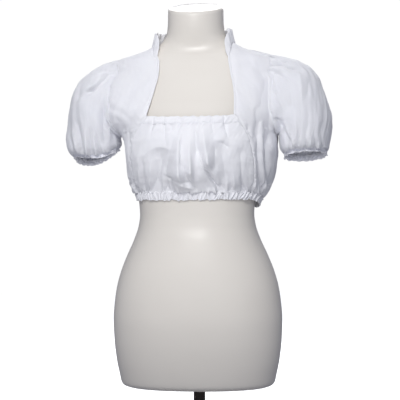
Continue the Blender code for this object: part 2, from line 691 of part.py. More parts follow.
def neck_path():
    """Points and normals along the neck edge, from the right corner of the neckline up round the
    back of the neck and down to the left corner, with the height of the collar there."""
    rows = CLOTH_ROWS[CORNER_ROW:]
    left = angle_at(neck_distance(rows, LEFT), rows)
    right = math.pi - angle_at(neck_distance(rows, RIGHT), rows)
    top_left = np.linspace(left[-1], 0, 4)[1:]
    top_right = np.linspace(right[-1], math.pi, 4)[1:]
    behind = np.linspace(math.pi, 0, 2 * BACK_COLUMNS + 1)[1:-1]
    angles = np.concatenate([right, top_right, behind, top_left[::-1], left[::-1]])
    heights = np.concatenate([rows, np.full(3 + len(behind) + 3, rows[-1]), rows[::-1]])
    return angles, heights


def make_collar(finish, parent):
    """One band: a narrow binding up each neck edge that grows into a frilled stand at the back."""
    angles, heights = neck_path()
    base = cloth_point(angles, heights)
    normals = cloth_normal(angles, heights)
    onward = unit(np.gradient(base, axis=0))
    inwards = unit(np.cross(normals, onward))
    if inwards[len(inwards) // 2][2] < 0:
        inwards = -inwards
    standing = ramp(heights, *COLLAR_START)
    behind = np.clip(np.sin(angles), 0, 1) ** 0.7
    height = BINDING_WIDTH + standing * (COLLAR_HEIGHT + COLLAR_RISE_BEHIND * behind)
    lean_side, lean_back = -COLLAR_LEAN_SIDE * np.cos(angles), -COLLAR_LEAN_BACK * np.sin(angles)
    lean = unit(np.stack([lean_side, lean_back, np.ones_like(angles)], axis=1))
    rise = unit(inwards * (1 - standing)[:, None] + lean * standing[:, None])
    across = unit(np.cross(onward, rise))
    if (across * normals).sum() < 0:
        across = -across
    walked = np.concatenate([[0], np.cumsum(standing[1:] * np.linalg.norm(np.diff(base, axis=0), axis=1))])
    frill = np.sin(2 * np.pi * COLLAR_WAVES * walked / walked[-1]) * standing
    levels = np.array([0, 0.35, 0.7, 1.0])
    clear = GAP + CLOTH / 2 * np.abs((across * inwards).sum(axis=1))
    start = base + (CLOTH / 2 * (1 + 0.5 * standing))[:, None] * normals + clear[:, None] * inwards
    middle = np.array([start + level * height[:, None] * rise for level in levels])
    middle = middle + COLLAR_FRILL * levels[:, None, None] ** 1.5 * frill[:, None] * across
    side = np.broadcast_to(across, middle.shape)
    mesh = wall_mesh("collar", middle - CLOTH / 2 * side, middle + CLOTH / 2 * side, closed=False)
    return add_node("collar", mesh, finish, parent)


def make_stand(steel, dark_steel):
    bpy.ops.mesh.primitive_cylinder_add(vertices=40, radius=BASE_RADIUS, depth=BASE_THICKNESS)
    base = bpy.context.object
    base.name = "base_plate"
    base.location = (0, 0, BASE_THICKNESS / 2)
    rounding = base.modifiers.new("rounded_edge", "BEVEL")
    rounding.width, rounding.segments = BASE_EDGE, 1
    base.data.materials.append(steel)
    length = FORM_LEVEL + FORM_SECTIONS[0][0] - BASE_THICKNESS - 2 * GAP
    bpy.ops.mesh.primitive_cylinder_add(vertices=24, radius=POLE_RADIUS, depth=length)
    pole = bpy.context.object
    pole.name = "pole"
    pole.location = (0, POLE_BEHIND, BASE_THICKNESS + GAP + length / 2)
    pole.data.materials.append(dark_steel)
    for node in (base, pole):
        for old in list(node.users_collection):
            old.objects.unlink(node)
        collection.objects.link(node)


for old in list(bpy.data.objects):
    bpy.data.objects.remove(old)
collection = bpy.data.collections.new("dirndl_blouse_on_form")
bpy.context.scene.collection.children.link(collection)

cotton = material("white_cotton", (0.86, 0.86, 0.90), 0.75)
shell = material("form_shell", (0.72, 0.70, 0.66), 0.45)
steel = material("base_steel", (0.35, 0.35, 0.36), 0.35, 1.0)
dark_steel = material("pole_steel", (0.06, 0.05, 0.05), 0.40, 1.0)

raised = bpy.data.objects.new("form_height", None)
raised.location = (0, 0, FORM_LEVEL)
collection.objects.link(raised)

make_stand(steel, dark_steel)
make_form(shell, raised)
make_front_middle(cotton, raised)
make_front_casing(cotton, raised)
make_back(cotton, raised)
make_hem_casing(cotton, raised)
make_collar(cotton, raised)
for side, sleeve, cuff in ((LEFT, LEFT_SLEEVE, LEFT_CUFF), (RIGHT, RIGHT_SLEEVE, RIGHT_CUFF)):
    make_front_side(side, cotton, raised)
    make_sleeve(side, sleeve, cotton, raised)
    make_cuff(side, cuff, cotton, raised)
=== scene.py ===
"""Looks of the dirndl blouse on its dress form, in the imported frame's metres, +Z up, front to -Y."""
import math

import bmesh
import bpy
import numpy as np
from mathutils import Matrix, Vector


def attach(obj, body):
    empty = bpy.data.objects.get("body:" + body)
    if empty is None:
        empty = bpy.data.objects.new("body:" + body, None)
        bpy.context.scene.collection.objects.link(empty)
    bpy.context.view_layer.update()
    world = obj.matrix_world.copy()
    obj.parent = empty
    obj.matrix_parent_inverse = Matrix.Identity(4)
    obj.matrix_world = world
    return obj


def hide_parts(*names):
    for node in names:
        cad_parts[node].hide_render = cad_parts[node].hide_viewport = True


# Stand and form
FORM_LEVEL = 0.120
BASE_RADIUS = 0.140
BASE_THICKNESS = 0.006
BASE_EDGE = 0.0015
POLE_RADIUS = 0.012
POLE_BEHIND = 0.020
GAP = 0.0003

# Cloth
CLOTH = 0.0014
FOLDED_CLOTH = 0.0020
HEM = 0.3735
HEM_CASING = 0.0153
UNDERARM = 0.507
SHOULDER_TIP = 0.662
LEFT_SHOULDER_TIP = 0.6725
ARMHOLE_ANGLE = math.radians(31)
ARMHOLE_STEPS = 10
ARMHOLE_FLARE_REACH = 0.55
BACK_DROP = 0.016
HANG_TURN = math.radians(15)
SHOULDER_TILT = 0.003
NECK_SHIFT = 0.005
NECK_DIP = 0.005

# Collar and binding
COLLAR_WAVES = 18
BINDING_WIDTH = 0.0034
COLLAR_HEIGHT = 0.0270
COLLAR_RISE_BEHIND = 0.0060
COLLAR_START = (0.656, 0.682)
COLLAR_LEAN_SIDE = 0.32
COLLAR_LEAN_BACK = 0.10

# How far in the back's columns bend to its edges, and how a sleeve leaves the armhole
BACK_EDGE_SHARE = 0.4
HEAD_OUTWARDS = 1.2
HEAD_DOWNWARDS = 1.7

# height, half width, front depth, back depth, squareness, slope of the ring towards the back
FORM_SECTIONS = (
    (-0.004, 0.144, 0.093, 0.099, 2.3, 0),
    (-0.001, 0.152, 0.1, 0.107, 2.3, 0),
    (0.005, 0.1565, 0.1045, 0.1115, 2.3, 0),
    (0.018, 0.1595, 0.1065, 0.114, 2.3, 0),
    (0.05, 0.166, 0.109, 0.12, 2.3, 0),
    (0.09, 0.1705, 0.111, 0.125, 2.3, 0),
    (0.131, 0.172, 0.112, 0.127, 2.3, 0),
    (0.165, 0.1695, 0.111, 0.123, 2.3, 0),
    (0.198, 0.1645, 0.109, 0.115, 2.28, 0),
    (0.229, 0.156, 0.106, 0.105, 2.26, 0),
    (0.262, 0.143, 0.101, 0.094, 2.24, 0),
    (0.294, 0.1285, 0.095, 0.084, 2.22, 0),
    (0.322, 0.1193, 0.089, 0.077, 2.2, 0),
    (0.343, 0.1165, 0.087, 0.074, 2.2, 0),
    (0.362, 0.1175, 0.088, 0.075, 2.2, 0),
    (0.392, 0.1225, 0.094, 0.08, 2.25, 0),
    (0.425, 0.129, 0.106, 0.086, 2.35, 0),
    (0.46, 0.134, 0.127, 0.091, 2.5, 0),
    (0.495, 0.139, 0.138, 0.095, 2.6, 0),
    (0.53, 0.144, 0.131, 0.098, 2.55, 0),
    (0.565, 0.152, 0.112, 0.098, 2.45, 0),
    (0.6, 0.16, 0.091, 0.095, 2.35, 0),
    (0.625, 0.1645, 0.074, 0.089, 2.3, 0),
    (0.64, 0.165, 0.064, 0.084, 2.25, 0),
    (0.651, 0.162, 0.0565, 0.0795, 2.2, 0),
    (0.6582, 0.155, 0.052, 0.0765, 2.2, 0),
    (0.6625, 0.143, 0.0495, 0.0745, 2.15, 0),
    (0.6685, 0.1215, 0.0465, 0.072, 2.1, 0),
    (0.679, 0.0935, 0.0445, 0.067, 2.05, 0),
    (0.6895, 0.0745, 0.0455, 0.062, 2, 0.02),
    (0.699, 0.0655, 0.048, 0.059, 2, 0.05),
    (0.712, 0.0597, 0.051, 0.057, 2, 0.12),
    (0.735, 0.057, 0.054, 0.056, 2, 0.24),
    (0.76, 0.0565, 0.055, 0.0555, 2, 0.32),
    (0.764, 0.0555, 0.054, 0.0545, 2, 0.32),
    (0.7655, 0.0535, 0.052, 0.0525, 2, 0.32),
)

# height, room at the side, in front and behind, between the form and the cloth
EASE_SECTIONS = (
    (0.36, 0.0009, 0.0009, 0.0009),
    (0.389, 0.0009, 0.0009, 0.0009),
    (0.395, 0.006, 0.0055, 0.0065),
    (0.402, 0.011, 0.0105, 0.0125),
    (0.413, 0.0155, 0.016, 0.0175),
    (0.428, 0.0185, 0.02, 0.019),
    (0.446, 0.0195, 0.017, 0.017),
    (0.468, 0.0185, 0.011, 0.013),
    (0.49, 0.015, 0.007, 0.0095),
    (0.507, 0.0115, 0.005, 0.007),
    (0.546, 0.006, 0.004, 0.0045),
    (0.585, 0.0035, 0.003, 0.0035),
    (0.623, 0.0028, 0.0028, 0.003),
    (0.652, 0.0034, 0.003, 0.0032),
    (0.662, 0.0042, 0.0034, 0.0036),
    (0.69, 0.005, 0.004, 0.0042),
)

# height, how far the cloth hangs over to the left, on its left side and on its right side
SIDE_HANG = (
    (0.36, 0.006, 0),
    (0.389, 0.008, 0),
    (0.402, 0.0095, 0.002),
    (0.413, 0.0105, 0.004),
    (0.446, 0.011, 0.0075),
    (0.468, 0.011, 0.008),
    (0.49, 0.01, 0.007),
    (0.52, 0.005, 0.003),
    (0.55, 0, 0),
)

# height, distance of the front panels' neck edge from the middle
NECK_EDGE = (
    (0.539, 0.088),
    (0.566, 0.0845),
    (0.592, 0.0803),
    (0.624, 0.0742),
    (0.6514, 0.0722),
    (0.6693, 0.0775),
    (0.68, 0.0785),
    (0.686, 0.079),
)

# height, distance of the seams of the middle panel from the middle
PRINCESS_SEAM = (
    (0.36, 0.106),
    (0.389, 0.1085),
    (0.412, 0.118),
    (0.446, 0.121),
    (0.49, 0.115),
    (0.517, 0.102),
    (0.539, 0.088),
)

# height, distance of the armhole's edge from the middle where it stands off the form
LEFT_ARMHOLE_EDGE = (
    (0.48, 0.153),
    (0.508, 0.159),
    (0.528, 0.1575),
    (0.559, 0.1545),
    (0.589, 0.1535),
    (0.609, 0.154),
    (0.627, 0.147),
    (0.644, 0.131),
    (0.6725, 0.1),
    (0.69, 0.05),
)
RIGHT_ARMHOLE_EDGE = (
    (0.48, 0.153),
    (0.497, 0.156),
    (0.527, 0.167),
    (0.547, 0.171),
    (0.577, 0.169),
    (0.605, 0.167),
    (0.627, 0.157),
    (0.644, 0.147),
    (0.662, 0.12),
    (0.69, 0.05),
)

# Sections of the sleeve, from the armhole to the cuff. Outer and inner are the ends of a section
# away from and towards the body, the bow is how far its front and back bend outwards, the sag
# how far they hang, and the skew how far the back's outer end hangs lower than that of the front.
# outer x, outer height, inner x, inner height, front depth, back depth, drop at the back, bow, sag, skew
RIGHT_SLEEVE = (
    (0.2173, 0.637, 0.159, 0.4965, 0.068, 0.074, 0, 0.004, 0, 0),
    (0.241, 0.6165, 0.1588, 0.4952, 0.0715, 0.0775, 0.001, 0.0015, 0, 0),
    (0.2545, 0.59, 0.1587, 0.4942, 0.074, 0.079, 0.003, 0, 0, 0),
    (0.2605, 0.5612, 0.1587, 0.4932, 0.074, 0.078, 0.004, 0, 0.001, 0),
    (0.2648, 0.5286, 0.1588, 0.4924, 0.072, 0.076, 0.005, 0, 0.003, 0),
    (0.2683, 0.502, 0.1592, 0.4917, 0.069, 0.072, 0.006, 0, 0.006, 0.002),
    (0.2665, 0.4855, 0.1598, 0.4911, 0.064, 0.067, 0.006, 0, 0.01, 0.0045),
    (0.26, 0.4742, 0.1606, 0.4905, 0.056, 0.059, 0.007, 0, 0.011, 0.007),
    (0.2525, 0.4698, 0.1618, 0.4898, 0.049, 0.051, 0.007, 0, 0.012, 0.0094),
)
RIGHT_CUFF = (
    (0.251, 0.4689, 0.1626, 0.489, 0.048, 0.05, 0.007, 0, 0.012, 0.0094),
    (0.249, 0.4646, 0.1641, 0.4842, 0.0465, 0.0485, 0.007, 0, 0.012, 0.0094),
    (0.2505, 0.4608, 0.1626, 0.4796, 0.049, 0.0505, 0.007, 0, 0.012, 0.0094),
)
LEFT_SLEEVE = (
    (0.209, 0.6515, 0.1685, 0.4915, 0.072, 0.077, 0, 0.002, 0, 0),
    (0.23, 0.641, 0.169, 0.4886, 0.075, 0.08, 0.001, 0, 0, 0),
    (0.2468, 0.6224, 0.1696, 0.4861, 0.0765, 0.081, 0.003, 0, 0, 0),
    (0.259, 0.5939, 0.1704, 0.4837, 0.0775, 0.081, 0.005, 0, 0, 0),
    (0.269, 0.5643, 0.1715, 0.4817, 0.0765, 0.0785, 0.008, 0, 0, 0),
    (0.275, 0.535, 0.173, 0.4798, 0.074, 0.0755, 0.01, 0, 0, 0),
    (0.2735, 0.5098, 0.175, 0.4781, 0.07, 0.0705, 0.012, 0, 0, 0),
    (0.2685, 0.4918, 0.1772, 0.4768, 0.062, 0.062, 0.014, 0, 0, 0),
    (0.2635, 0.4802, 0.1792, 0.4757, 0.051, 0.052, 0.016, 0, 0, 0),
)
LEFT_CUFF = (
    (0.262, 0.4794, 0.1798, 0.4749, 0.0495, 0.0505, 0.016, 0, 0, 0),
    (0.2607, 0.4743, 0.1813, 0.4697, 0.0475, 0.049, 0.016, 0, 0, 0),
    (0.263, 0.4697, 0.1798, 0.4651, 0.05, 0.051, 0.016, 0, 0, 0),
)

LEFT, RIGHT = 1, -1
SIDE_NAMES = {LEFT: "left", RIGHT: "right"}


def smooth_table(table):
    """A function of height that runs smoothly through the table's rows, without overshoot."""
    rows = np.array(table, float)
    at, values = rows[:, 0], rows[:, 1:]
    step = np.diff(at)[:, None]
    secant = np.diff(values, axis=0) / step
    slope = np.zeros_like(values)
    slope[0], slope[-1] = secant[0], secant[-1]
    before, after = secant[:-1], secant[1:]
    same_way = before * after > 0
    slope[1:-1][same_way] = (2 * before * after)[same_way] / (before + after)[same_way]

    def read(height):
        height = np.clip(np.asarray(height, float), at[0], at[-1])
        i = np.clip(np.searchsorted(at, height, side="right") - 1, 0, len(at) - 2)
        width = (at[i + 1] - at[i])[..., None]
        t = (height - at[i])[..., None] / width
        start = (1 + 2 * t) * (1 - t) ** 2 * values[i] + t * (1 - t) ** 2 * width * slope[i]
        end = t * t * (3 - 2 * t) * values[i + 1] + t * t * (t - 1) * width * slope[i + 1]
        return start + end

    return read


form_section = smooth_table(FORM_SECTIONS)
ease_section = smooth_table(EASE_SECTIONS)
side_hang = smooth_table(SIDE_HANG)
neck_edge = smooth_table(NECK_EDGE)
princess_seam = smooth_table(PRINCESS_SEAM)
left_armhole_edge = smooth_table(LEFT_ARMHOLE_EDGE)
right_armhole_edge = smooth_table(RIGHT_ARMHOLE_EDGE)


def power(value, exponent):
    return np.sign(value) * np.abs(value) ** exponent


def ramp(value, low, high):
    """0 below low and 1 above high, smooth between them."""
    t = np.clip((value - low) / (high - low), 0, 1)
    return t * t * (3 - 2 * t)


def ring_point(angle, height, side_room, front_room, back_room):
    """A point of the form's section at that height, moved out by the room given."""
    section = form_section(height)
    width, front, back, square, slope = (section[..., i] for i in range(5))
    sine = np.sin(angle)
    x = (width + side_room) * power(np.cos(angle), 2 / square)
    y = np.where(sine < 0, front + front_room, back + back_room) * power(sine, 2 / square)
    return np.stack([x, y, height + slope * y], axis=-1)


def cloth_height(angle, height):
    """The cloth's rows hang lower behind, and a little higher on the left shoulder."""
    behind = ramp(np.sin(angle) + 0.25 * np.cos(angle), -0.25, 0.60)
    drop = BACK_DROP * behind * (1 - ramp(height, HEM, UNDERARM + 0.05))
    return height - drop + SHOULDER_TILT * np.cos(angle) * ramp(height, UNDERARM, SHOULDER_TIP)


def armhole_flare(angle, height):
    """How far the cloth round the armholes stands off the form, to the side."""
    from_side = np.abs(np.arcsin(np.clip(np.sin(angle), -1, 1)))
    section, room = form_section(height), ease_section(height)
    left = np.cos(angle) > 0
    edge = np.where(left, armhole_angle(height, LEFT), armhole_angle(height, RIGHT))
    plain = (section[..., 0] + room[..., 0]) * np.cos(edge) ** (2 / section[..., 3])
    wanted = np.where(left, left_armhole_edge(height)[..., 0], right_armhole_edge(height)[..., 0])
    near = 1 - ramp(from_side, edge, edge + ARMHOLE_FLARE_REACH)
    inside = ramp(height, UNDERARM - 0.05, UNDERARM + 0.012)
    return np.sign(np.cos(angle)) * np.clip(wanted - plain, 0, None) * near * inside


def cloth_point(angle, height):
    """A point on the inner face of the blouse, before any fold."""
    angle, height = np.broadcast_arrays(np.asarray(angle, float), np.asarray(height, float))
    room = ease_section(height)
    point = ring_point(angle, cloth_height(angle, height), room[..., 0], room[..., 1], room[..., 2])
    hang = side_hang(height)
    point[..., 0] += armhole_flare(angle, height)
    point[..., 0] += hang[..., 0] * ramp(np.cos(angle - HANG_TURN), 0.45, 1)
    point[..., 0] += hang[..., 1] * ramp(np.cos(angle + HANG_TURN + np.pi), 0.45, 1)
    return point


def unit(vectors):
    return vectors / np.maximum(np.linalg.norm(vectors, axis=-1, keepdims=True), 1e-12)


def cloth_normal(angle, height):
    turn, rise = 0.02, 0.0008
    across = cloth_point(angle + turn, height) - cloth_point(angle - turn, height)
    up = cloth_point(angle, height + rise) - cloth_point(angle, height - rise)
    return unit(np.cross(across, up))


def angle_at(distance, height):
    """The angle, from the side towards the front, at which the cloth is that far from the middle."""
    square = form_section(height)[..., 3]
    width = form_section(height)[..., 0] + ease_section(height)[..., 0]
    return -np.arccos(np.clip(distance / width, 0, 1) ** (square / 2))


def mirrored(angle, side):
    return angle if side == LEFT else math.pi - angle


def armhole_heights():
    middle, half = (UNDERARM + SHOULDER_TIP) / 2, (SHOULDER_TIP - UNDERARM) / 2
    return middle - half * np.cos(np.pi * np.arange(ARMHOLE_STEPS + 1) / ARMHOLE_STEPS)


def armhole_angle(height, side):
    """Half the armhole's opening as an angle. It is 0 below the underarm and above the shoulder tip."""
    tip = LEFT_SHOULDER_TIP if side == LEFT else SHOULDER_TIP
    middle, half = (UNDERARM + tip) / 2, (tip - UNDERARM) / 2
    return ARMHOLE_ANGLE * np.sqrt(np.clip(1 - ((height - middle) / half) ** 2, 0, 1)) ** 0.85


LOWER_ROWS = np.array([HEM + HEM_CASING, 0.395, 0.402, 0.413, 0.428, 0.446, 0.468, 0.490])
ARMHOLE_ROWS = armhole_heights()
UPPER_ROWS = np.array([0.6675, LEFT_SHOULDER_TIP, 0.6790, 0.6860])
CLOTH_ROWS = np.concatenate([LOWER_ROWS, ARMHOLE_ROWS, UPPER_ROWS])
CORNER_ROW = len(LOWER_ROWS) + 3
FRONT_CASING_ROW = CORNER_ROW - 1

# The finer pieces of the stand and form
FORM_ROW = 0.004
FINE_FORM_COLUMNS = 144
CAP_RINGS = ((0.985, 0.0002), (0.955, 0.0010), (0.90, 0.0013), (0.5, 0.0014), (0.1, 0.0014))
FLOOR_RADIUS = 4.0

# The finer bands and panels
FOLDED_SHELL = 0.0014
FRONT_ROWS = 118
HEM_CLEAR = 0.0006
TUCK = 0.0025
VALLEY_SHARE = 0.8
HEM_FINE_COLUMNS = 900
HEM_FLUTES = 112
CUFF_FINE_COLUMNS = 360
CUFF_FLUTES = 34
NECK_SIDE_STEPS = 110
NECK_BACK_STEPS = 260
COLLAR_FINE_FRILL = 0.0024

# How the sleeves and cuffs join what they are sewn to, and how cloth hangs over a cuff
SEAM_TUCK = 0.0042
SEAM_LEVEL = 0.0008
SOFT_REACH = 0.022
SOFT_ROUNDS = 260
TURNED_AWAY = (-0.15, 0.35)
SLEEVE_OVERLAP = 0.0012
FRONT_OVERHANG = {LEFT: 0.0125, RIGHT: 0.0105}
BACK_OVERHANG = 0.0040
OVERHANG_AT = 0.005
OVERHANG_REACH = 0.018
CUFF_TUCK = 0.003
CUFF_INSIDE = 0.0014
BINDING_TUCK = 0.004

# Fine rows of the bands, factors of their flutes' heights, and height and size of their ragged edges
CASING_FINE_ROWS = 18
HEM_FINE_ROWS = 14
CUFF_FINE_RINGS = 12
COLLAR_FINE_ROWS = 14
HEM_RISE = 1.3
CUFF_RISE = 1.15
HEM_RAGGED = (0.0015, 0.009)
CUFF_RAGGED = (0.0010, 0.011)

# A gather's random ranges: its place in shares of the spacing, its slant, factors of its height and
# width. Then how sharp its crest is
GATHER_JITTER = 0.34
GATHER_SLANT = 0.16
GATHER_HEIGHT = (0.45, 1.2)
GATHER_WIDTH = (0.75, 1.35)
GATHER_SHARPNESS = 1.6

# An elastic band's random ranges: a flute's place in shares of the spacing, its slant, its width in
# shares of the spacing and its height. Then its sharpness, and where, how deep and how wide the
# stitches pinch the band, in shares of its width
FLUTE_JITTER = 0.22
FLUTE_SLANT = (-0.25, 0.55)
FLUTE_WIDTH = (0.20, 0.34)
FLUTE_HEIGHT = (0.0012, 0.0031)
FLUTE_SHARPNESS = 1.4
PINCHES = (0.13, 0.87)
PINCH_DEPTH = 0.45
PINCH_WIDTH = 0.06

# Puckers across a seam: size, height and reach. Then how soon folds rise above a tucked edge
PUCKER = (0.011, 0.00045, 0.009)
TUCK_FADE = 0.004

# A sleeve's folds rise from the armhole, and at the back they start further down. Its valleys are
# shallow at the armhole and deeper further down
HEAD_FADE = 0.010
BACK_FOLDS_RISE = (0.015, 0.045)
SLEEVE_VALLEY = (0.0030, 0.0070, 0.010, 0.045)
HEAD_PUCKER = (0.010, 0.0006, 0.006)
BACK_SHIFT = (1.02, 0.004, 0.006)
HIDDEN_GATHERS = 0.85

# Soft unevenness: size and height of the large waves, size and height of the fine ones
MIDDLE_UNEVENNESS = (0.045, 0.0007, 0.014, 0.00022)
SIDE_UNEVENNESS = (0.05, 0.0008, 0.016, 0.00018)
BACK_UNEVENNESS = (0.06, 0.0009, 0.016, 0.00018)
SLEEVE_UNEVENNESS = (0.05, 0.0008, 0.016, 0.0002)

# Stitches: how far they lie above a band, pitch, length, half width, sides, and the place and swell
# of the rings of one stitch
STITCH_LIFT = 0.0001
STITCH_PITCH = 0.0030
STITCH_LENGTH = 0.0021
STITCH_WIDTH = 0.00042
STITCH_SIDES = 6
STITCH_RINGS = ((-0.5, 0.35), (-0.3, 1.0), (0.3, 1.0), (0.5, 0.35))

# Colours, linear, and the weave
COTTON_COOL = (0.788, 0.789, 0.824)
COTTON_WARM = (0.812, 0.812, 0.836)
SLEEVE_COOL = (0.800, 0.806, 0.872)
SLEEVE_WARM = (0.826, 0.830, 0.888)
FORM_DARK = (0.712, 0.674, 0.620)
FORM_LIGHT = (0.745, 0.710, 0.655)
# The neck top's darker grey is painted shade, standing for the shade the top of the neck lies in.
CAP_PAINTED_SHADE_DARK = (0.60, 0.595, 0.58)
CAP_PAINTED_SHADE_LIGHT = (0.66, 0.655, 0.64)
THREADS_PER_METRE = 2400
BODY_TRANSLUCENCY = 0.15
SLEEVE_TRANSLUCENCY = 0.95
CLOTH_LIGHT_REACH = 0.0026
BASE_DARK = (0.60, 0.60, 0.595)
BASE_LIGHT = (0.68, 0.68, 0.67)
POLE_DARK = (0.035, 0.028, 0.025)
POLE_LIGHT = (0.06, 0.05, 0.045)
THREAD_DARK = (0.74, 0.74, 0.79)
THREAD_LIGHT = (0.88, 0.88, 0.92)
FLOOR_TONES = (0.93, 0.95)
FLOOR_GLOW = 0.80
BACKDROP_STRENGTH = 1.02

# Room and lights: name, place, aim, size, watts and, for some, whether the camera sees it
ROOM_COLOUR = (0.83, 0.86, 1.0)
ROOM_STRENGTH = 0.30
LIGHTS = (
    ("softbox_over_front", (-0.08, -1.7, 1.47), (0, 0, 0.66), (0.6, 0.5), 20.8),
    ("softbox_above", (0.0, -0.3, 2.5), (0, 0, 0.66), (1.2, 1.2), 8.0),
    ("softbox_behind", (0.0, 2.0, 1.8), (0, 0, 0.6), (1.6, 1.2), 34.0),
    ("reflector_below_front", (0.0, -0.60, 0.30), (0, -0.35, 0.9), (1.1, 0.5), 1.7, False),
)

# Fine grids of the visible cloth
SHELL = 0.0010
FINE_COLUMNS = {"front": 210, "side": 64, "back": 190}
FINE_LOWER_ROWS = 84
FINE_ARMHOLE_ROWS = 72
FINE_UPPER_ROWS = 12
SLEEVE_HALF_COLUMNS = 140
HEAD_RINGS = 26
SLEEVE_RINGS = 74
SEAM_GROOVE = 0.0009
SEAM_GROOVE_WIDTH = 0.0022
FOLD_SHARPNESS = 1.28
SHORTEST_END = 0.010
FACING = (0.30, 0.70)

# Camera, worked out from the photograph's outline
CAMERA_AZIMUTH = math.radians(6)
CAMERA_ROLL = math.radians(-0.4)
CAMERA_DISTANCE = 2.5
CAMERA_AIM = (0.006, 0.4927)
FRAME_SIDE = 0.816
SENSOR = 36.0

# One fold: where it starts and ends on the front, how far its middle is bowed aside, its half width
# and its height at the start and at the end. A groove's height is negative.
# The lean makes the side away from the middle of the body wider, as a share of the half width.
# start x, start height, end x, end height, bow, half width, lean, start relief, end relief
MIDDLE_FOLDS = (
    (-0.0175, 0.508, -0.0186, 0.43, 0, 0.014, -0.7, 0.001, 0.0205),
    (-0.025, 0.499, -0.047, 0.433, 0, 0.0042, 0, -0.0008, -0.005),
    (-0.0147, 0.478, -0.0156, 0.442, 0, 0.0022, 0, -0.006, -0.0075),
    (-0.0158, 0.43, -0.0154, 0.408, 0, 0.0028, 0, -0.003, -0.0005),
    (0.0015, 0.4985, 0.003, 0.432, 0, 0.0082, -0.5, 0.001, 0.017),
    (0.0138, 0.5, 0.0145, 0.468, 0, 0.0026, 0, -0.006, -0.0058),
    (0.0262, 0.52, 0.035, 0.45, 0, 0.0108, 0, 0.0016, 0.0165),
    (0.035, 0.45, 0.042, 0.433, 0, 0.0085, 0, 0.002, 0.0006),
    (0.005, 0.44, 0.005, 0.418, 0, 0.034, 0, 0.004, 0.004),
    (0.02, 0.466, 0.0494, 0.396, -0.003, 0.0034, 0.6, -0.006, -0.0125),
    (-0.011, 0.4396, 0.0078, 0.4, -0.003, 0.0026, 0, -0.003, -0.0056),
    (-0.042, 0.4165, -0.006, 0.4105, 0, 0.0026, 0, -0.002, -0.0024),
    (-0.0135, 0.4067, -0.0019, 0.4018, -0.002, 0.004, 0, 0.004, 0.0036),
    (0.0097, 0.393, 0.0328, 0.394, -0.0095, 0.003, 0, 0.004, 0.0034),
    (-0.088, 0.462, -0.04, 0.472, 0.008, 0.011, 0, 0.004, 0.0048),
    (-0.058, 0.451, -0.064, 0.412, 0, 0.0215, 0, -0.015, -0.013),
    (-0.03, 0.464, -0.042, 0.438, 0, 0.0034, 0, -0.0038, -0.0014),
    (0.048, 0.485, 0.082, 0.48, 0.005, 0.011, 0, 0.002, 0.0022),
    (0.056, 0.483, 0.072, 0.476, 0.002, 0.0034, 0, -0.001, -0.003),
    (0.065, 0.456, 0.069, 0.42, 0, 0.018, 0, -0.0092, -0.0084),
    (0.05, 0.468, 0.049, 0.44, 0, 0.003, 0, -0.0024, -0.002),
    (-0.0785, 0.438, -0.0848, 0.4006, 0, 0.005, 0, 0.002, 0.0044),
    (-0.068, 0.428, -0.0711, 0.3966, 0, 0.003, 0, -0.0018, -0.0056),
    (-0.0566, 0.418, -0.0575, 0.3926, 0, 0.0036, 0, 0.0014, 0.0046),
    (-0.047, 0.424, -0.048, 0.3926, 0, 0.003, 0, -0.0012, -0.0046),
    (-0.038, 0.412, -0.039, 0.3926, 0, 0.0034, 0, -0.0036, -0.0048),
    (0.0845, 0.438, 0.0823, 0.3992, 0, 0.0048, 0, 0.001, 0.004),
    (0.0985, 0.455, 0.0996, 0.3952, 0, 0.0034, 0, -0.002, -0.0054),
    (0.0718, 0.412, 0.0687, 0.3935, 0, 0.0036, 0, 0.0016, 0.0044),
    (0.0596, 0.41, 0.059, 0.3937, 0, 0.0032, 0, -0.001, -0.0044),
    (0.0466, 0.406, 0.0456, 0.3937, 0, 0.0034, 0, 0.0014, 0.0044),
    (0.0785, 0.408, 0.0784, 0.3954, 0, 0.0032, 0, -0.0014, -0.0042),
    (-0.094, 0.442, -0.098, 0.4, 0, 0.0032, 0, -0.0016, -0.0054),
    (-0.102, 0.452, -0.106, 0.41, 0, 0.0034, 0, 0.0014, 0.004),
    (-0.0488, 0.5202, -0.0451, 0.485, 0, 0.0026, 0, -0.0032, -0.0006),
    (-0.0166, 0.5198, -0.0236, 0.495, 0, 0.0026, 0, -0.0032, -0.0006),
    (0.0184, 0.5212, 0.0172, 0.49, 0, 0.0026, 0, -0.003, -0.0008),
    (0.0677, 0.5225, 0.0763, 0.485, 0, 0.0026, 0, -0.0034, -0.0006),
    (-0.0703, 0.5205, -0.0763, 0.495, 0, 0.0026, 0, -0.0026, -0.0006),
    (0.0445, 0.519, 0.0473, 0.498, 0, 0.0026, 0, -0.0026, -0.0006),
    (0.001, 0.519, -0.002, 0.503, 0, 0.0024, 0, -0.0022, -0.0006),
    (-0.033, 0.519, -0.034, 0.502, 0, 0.0024, 0, -0.0022, -0.0006),
)
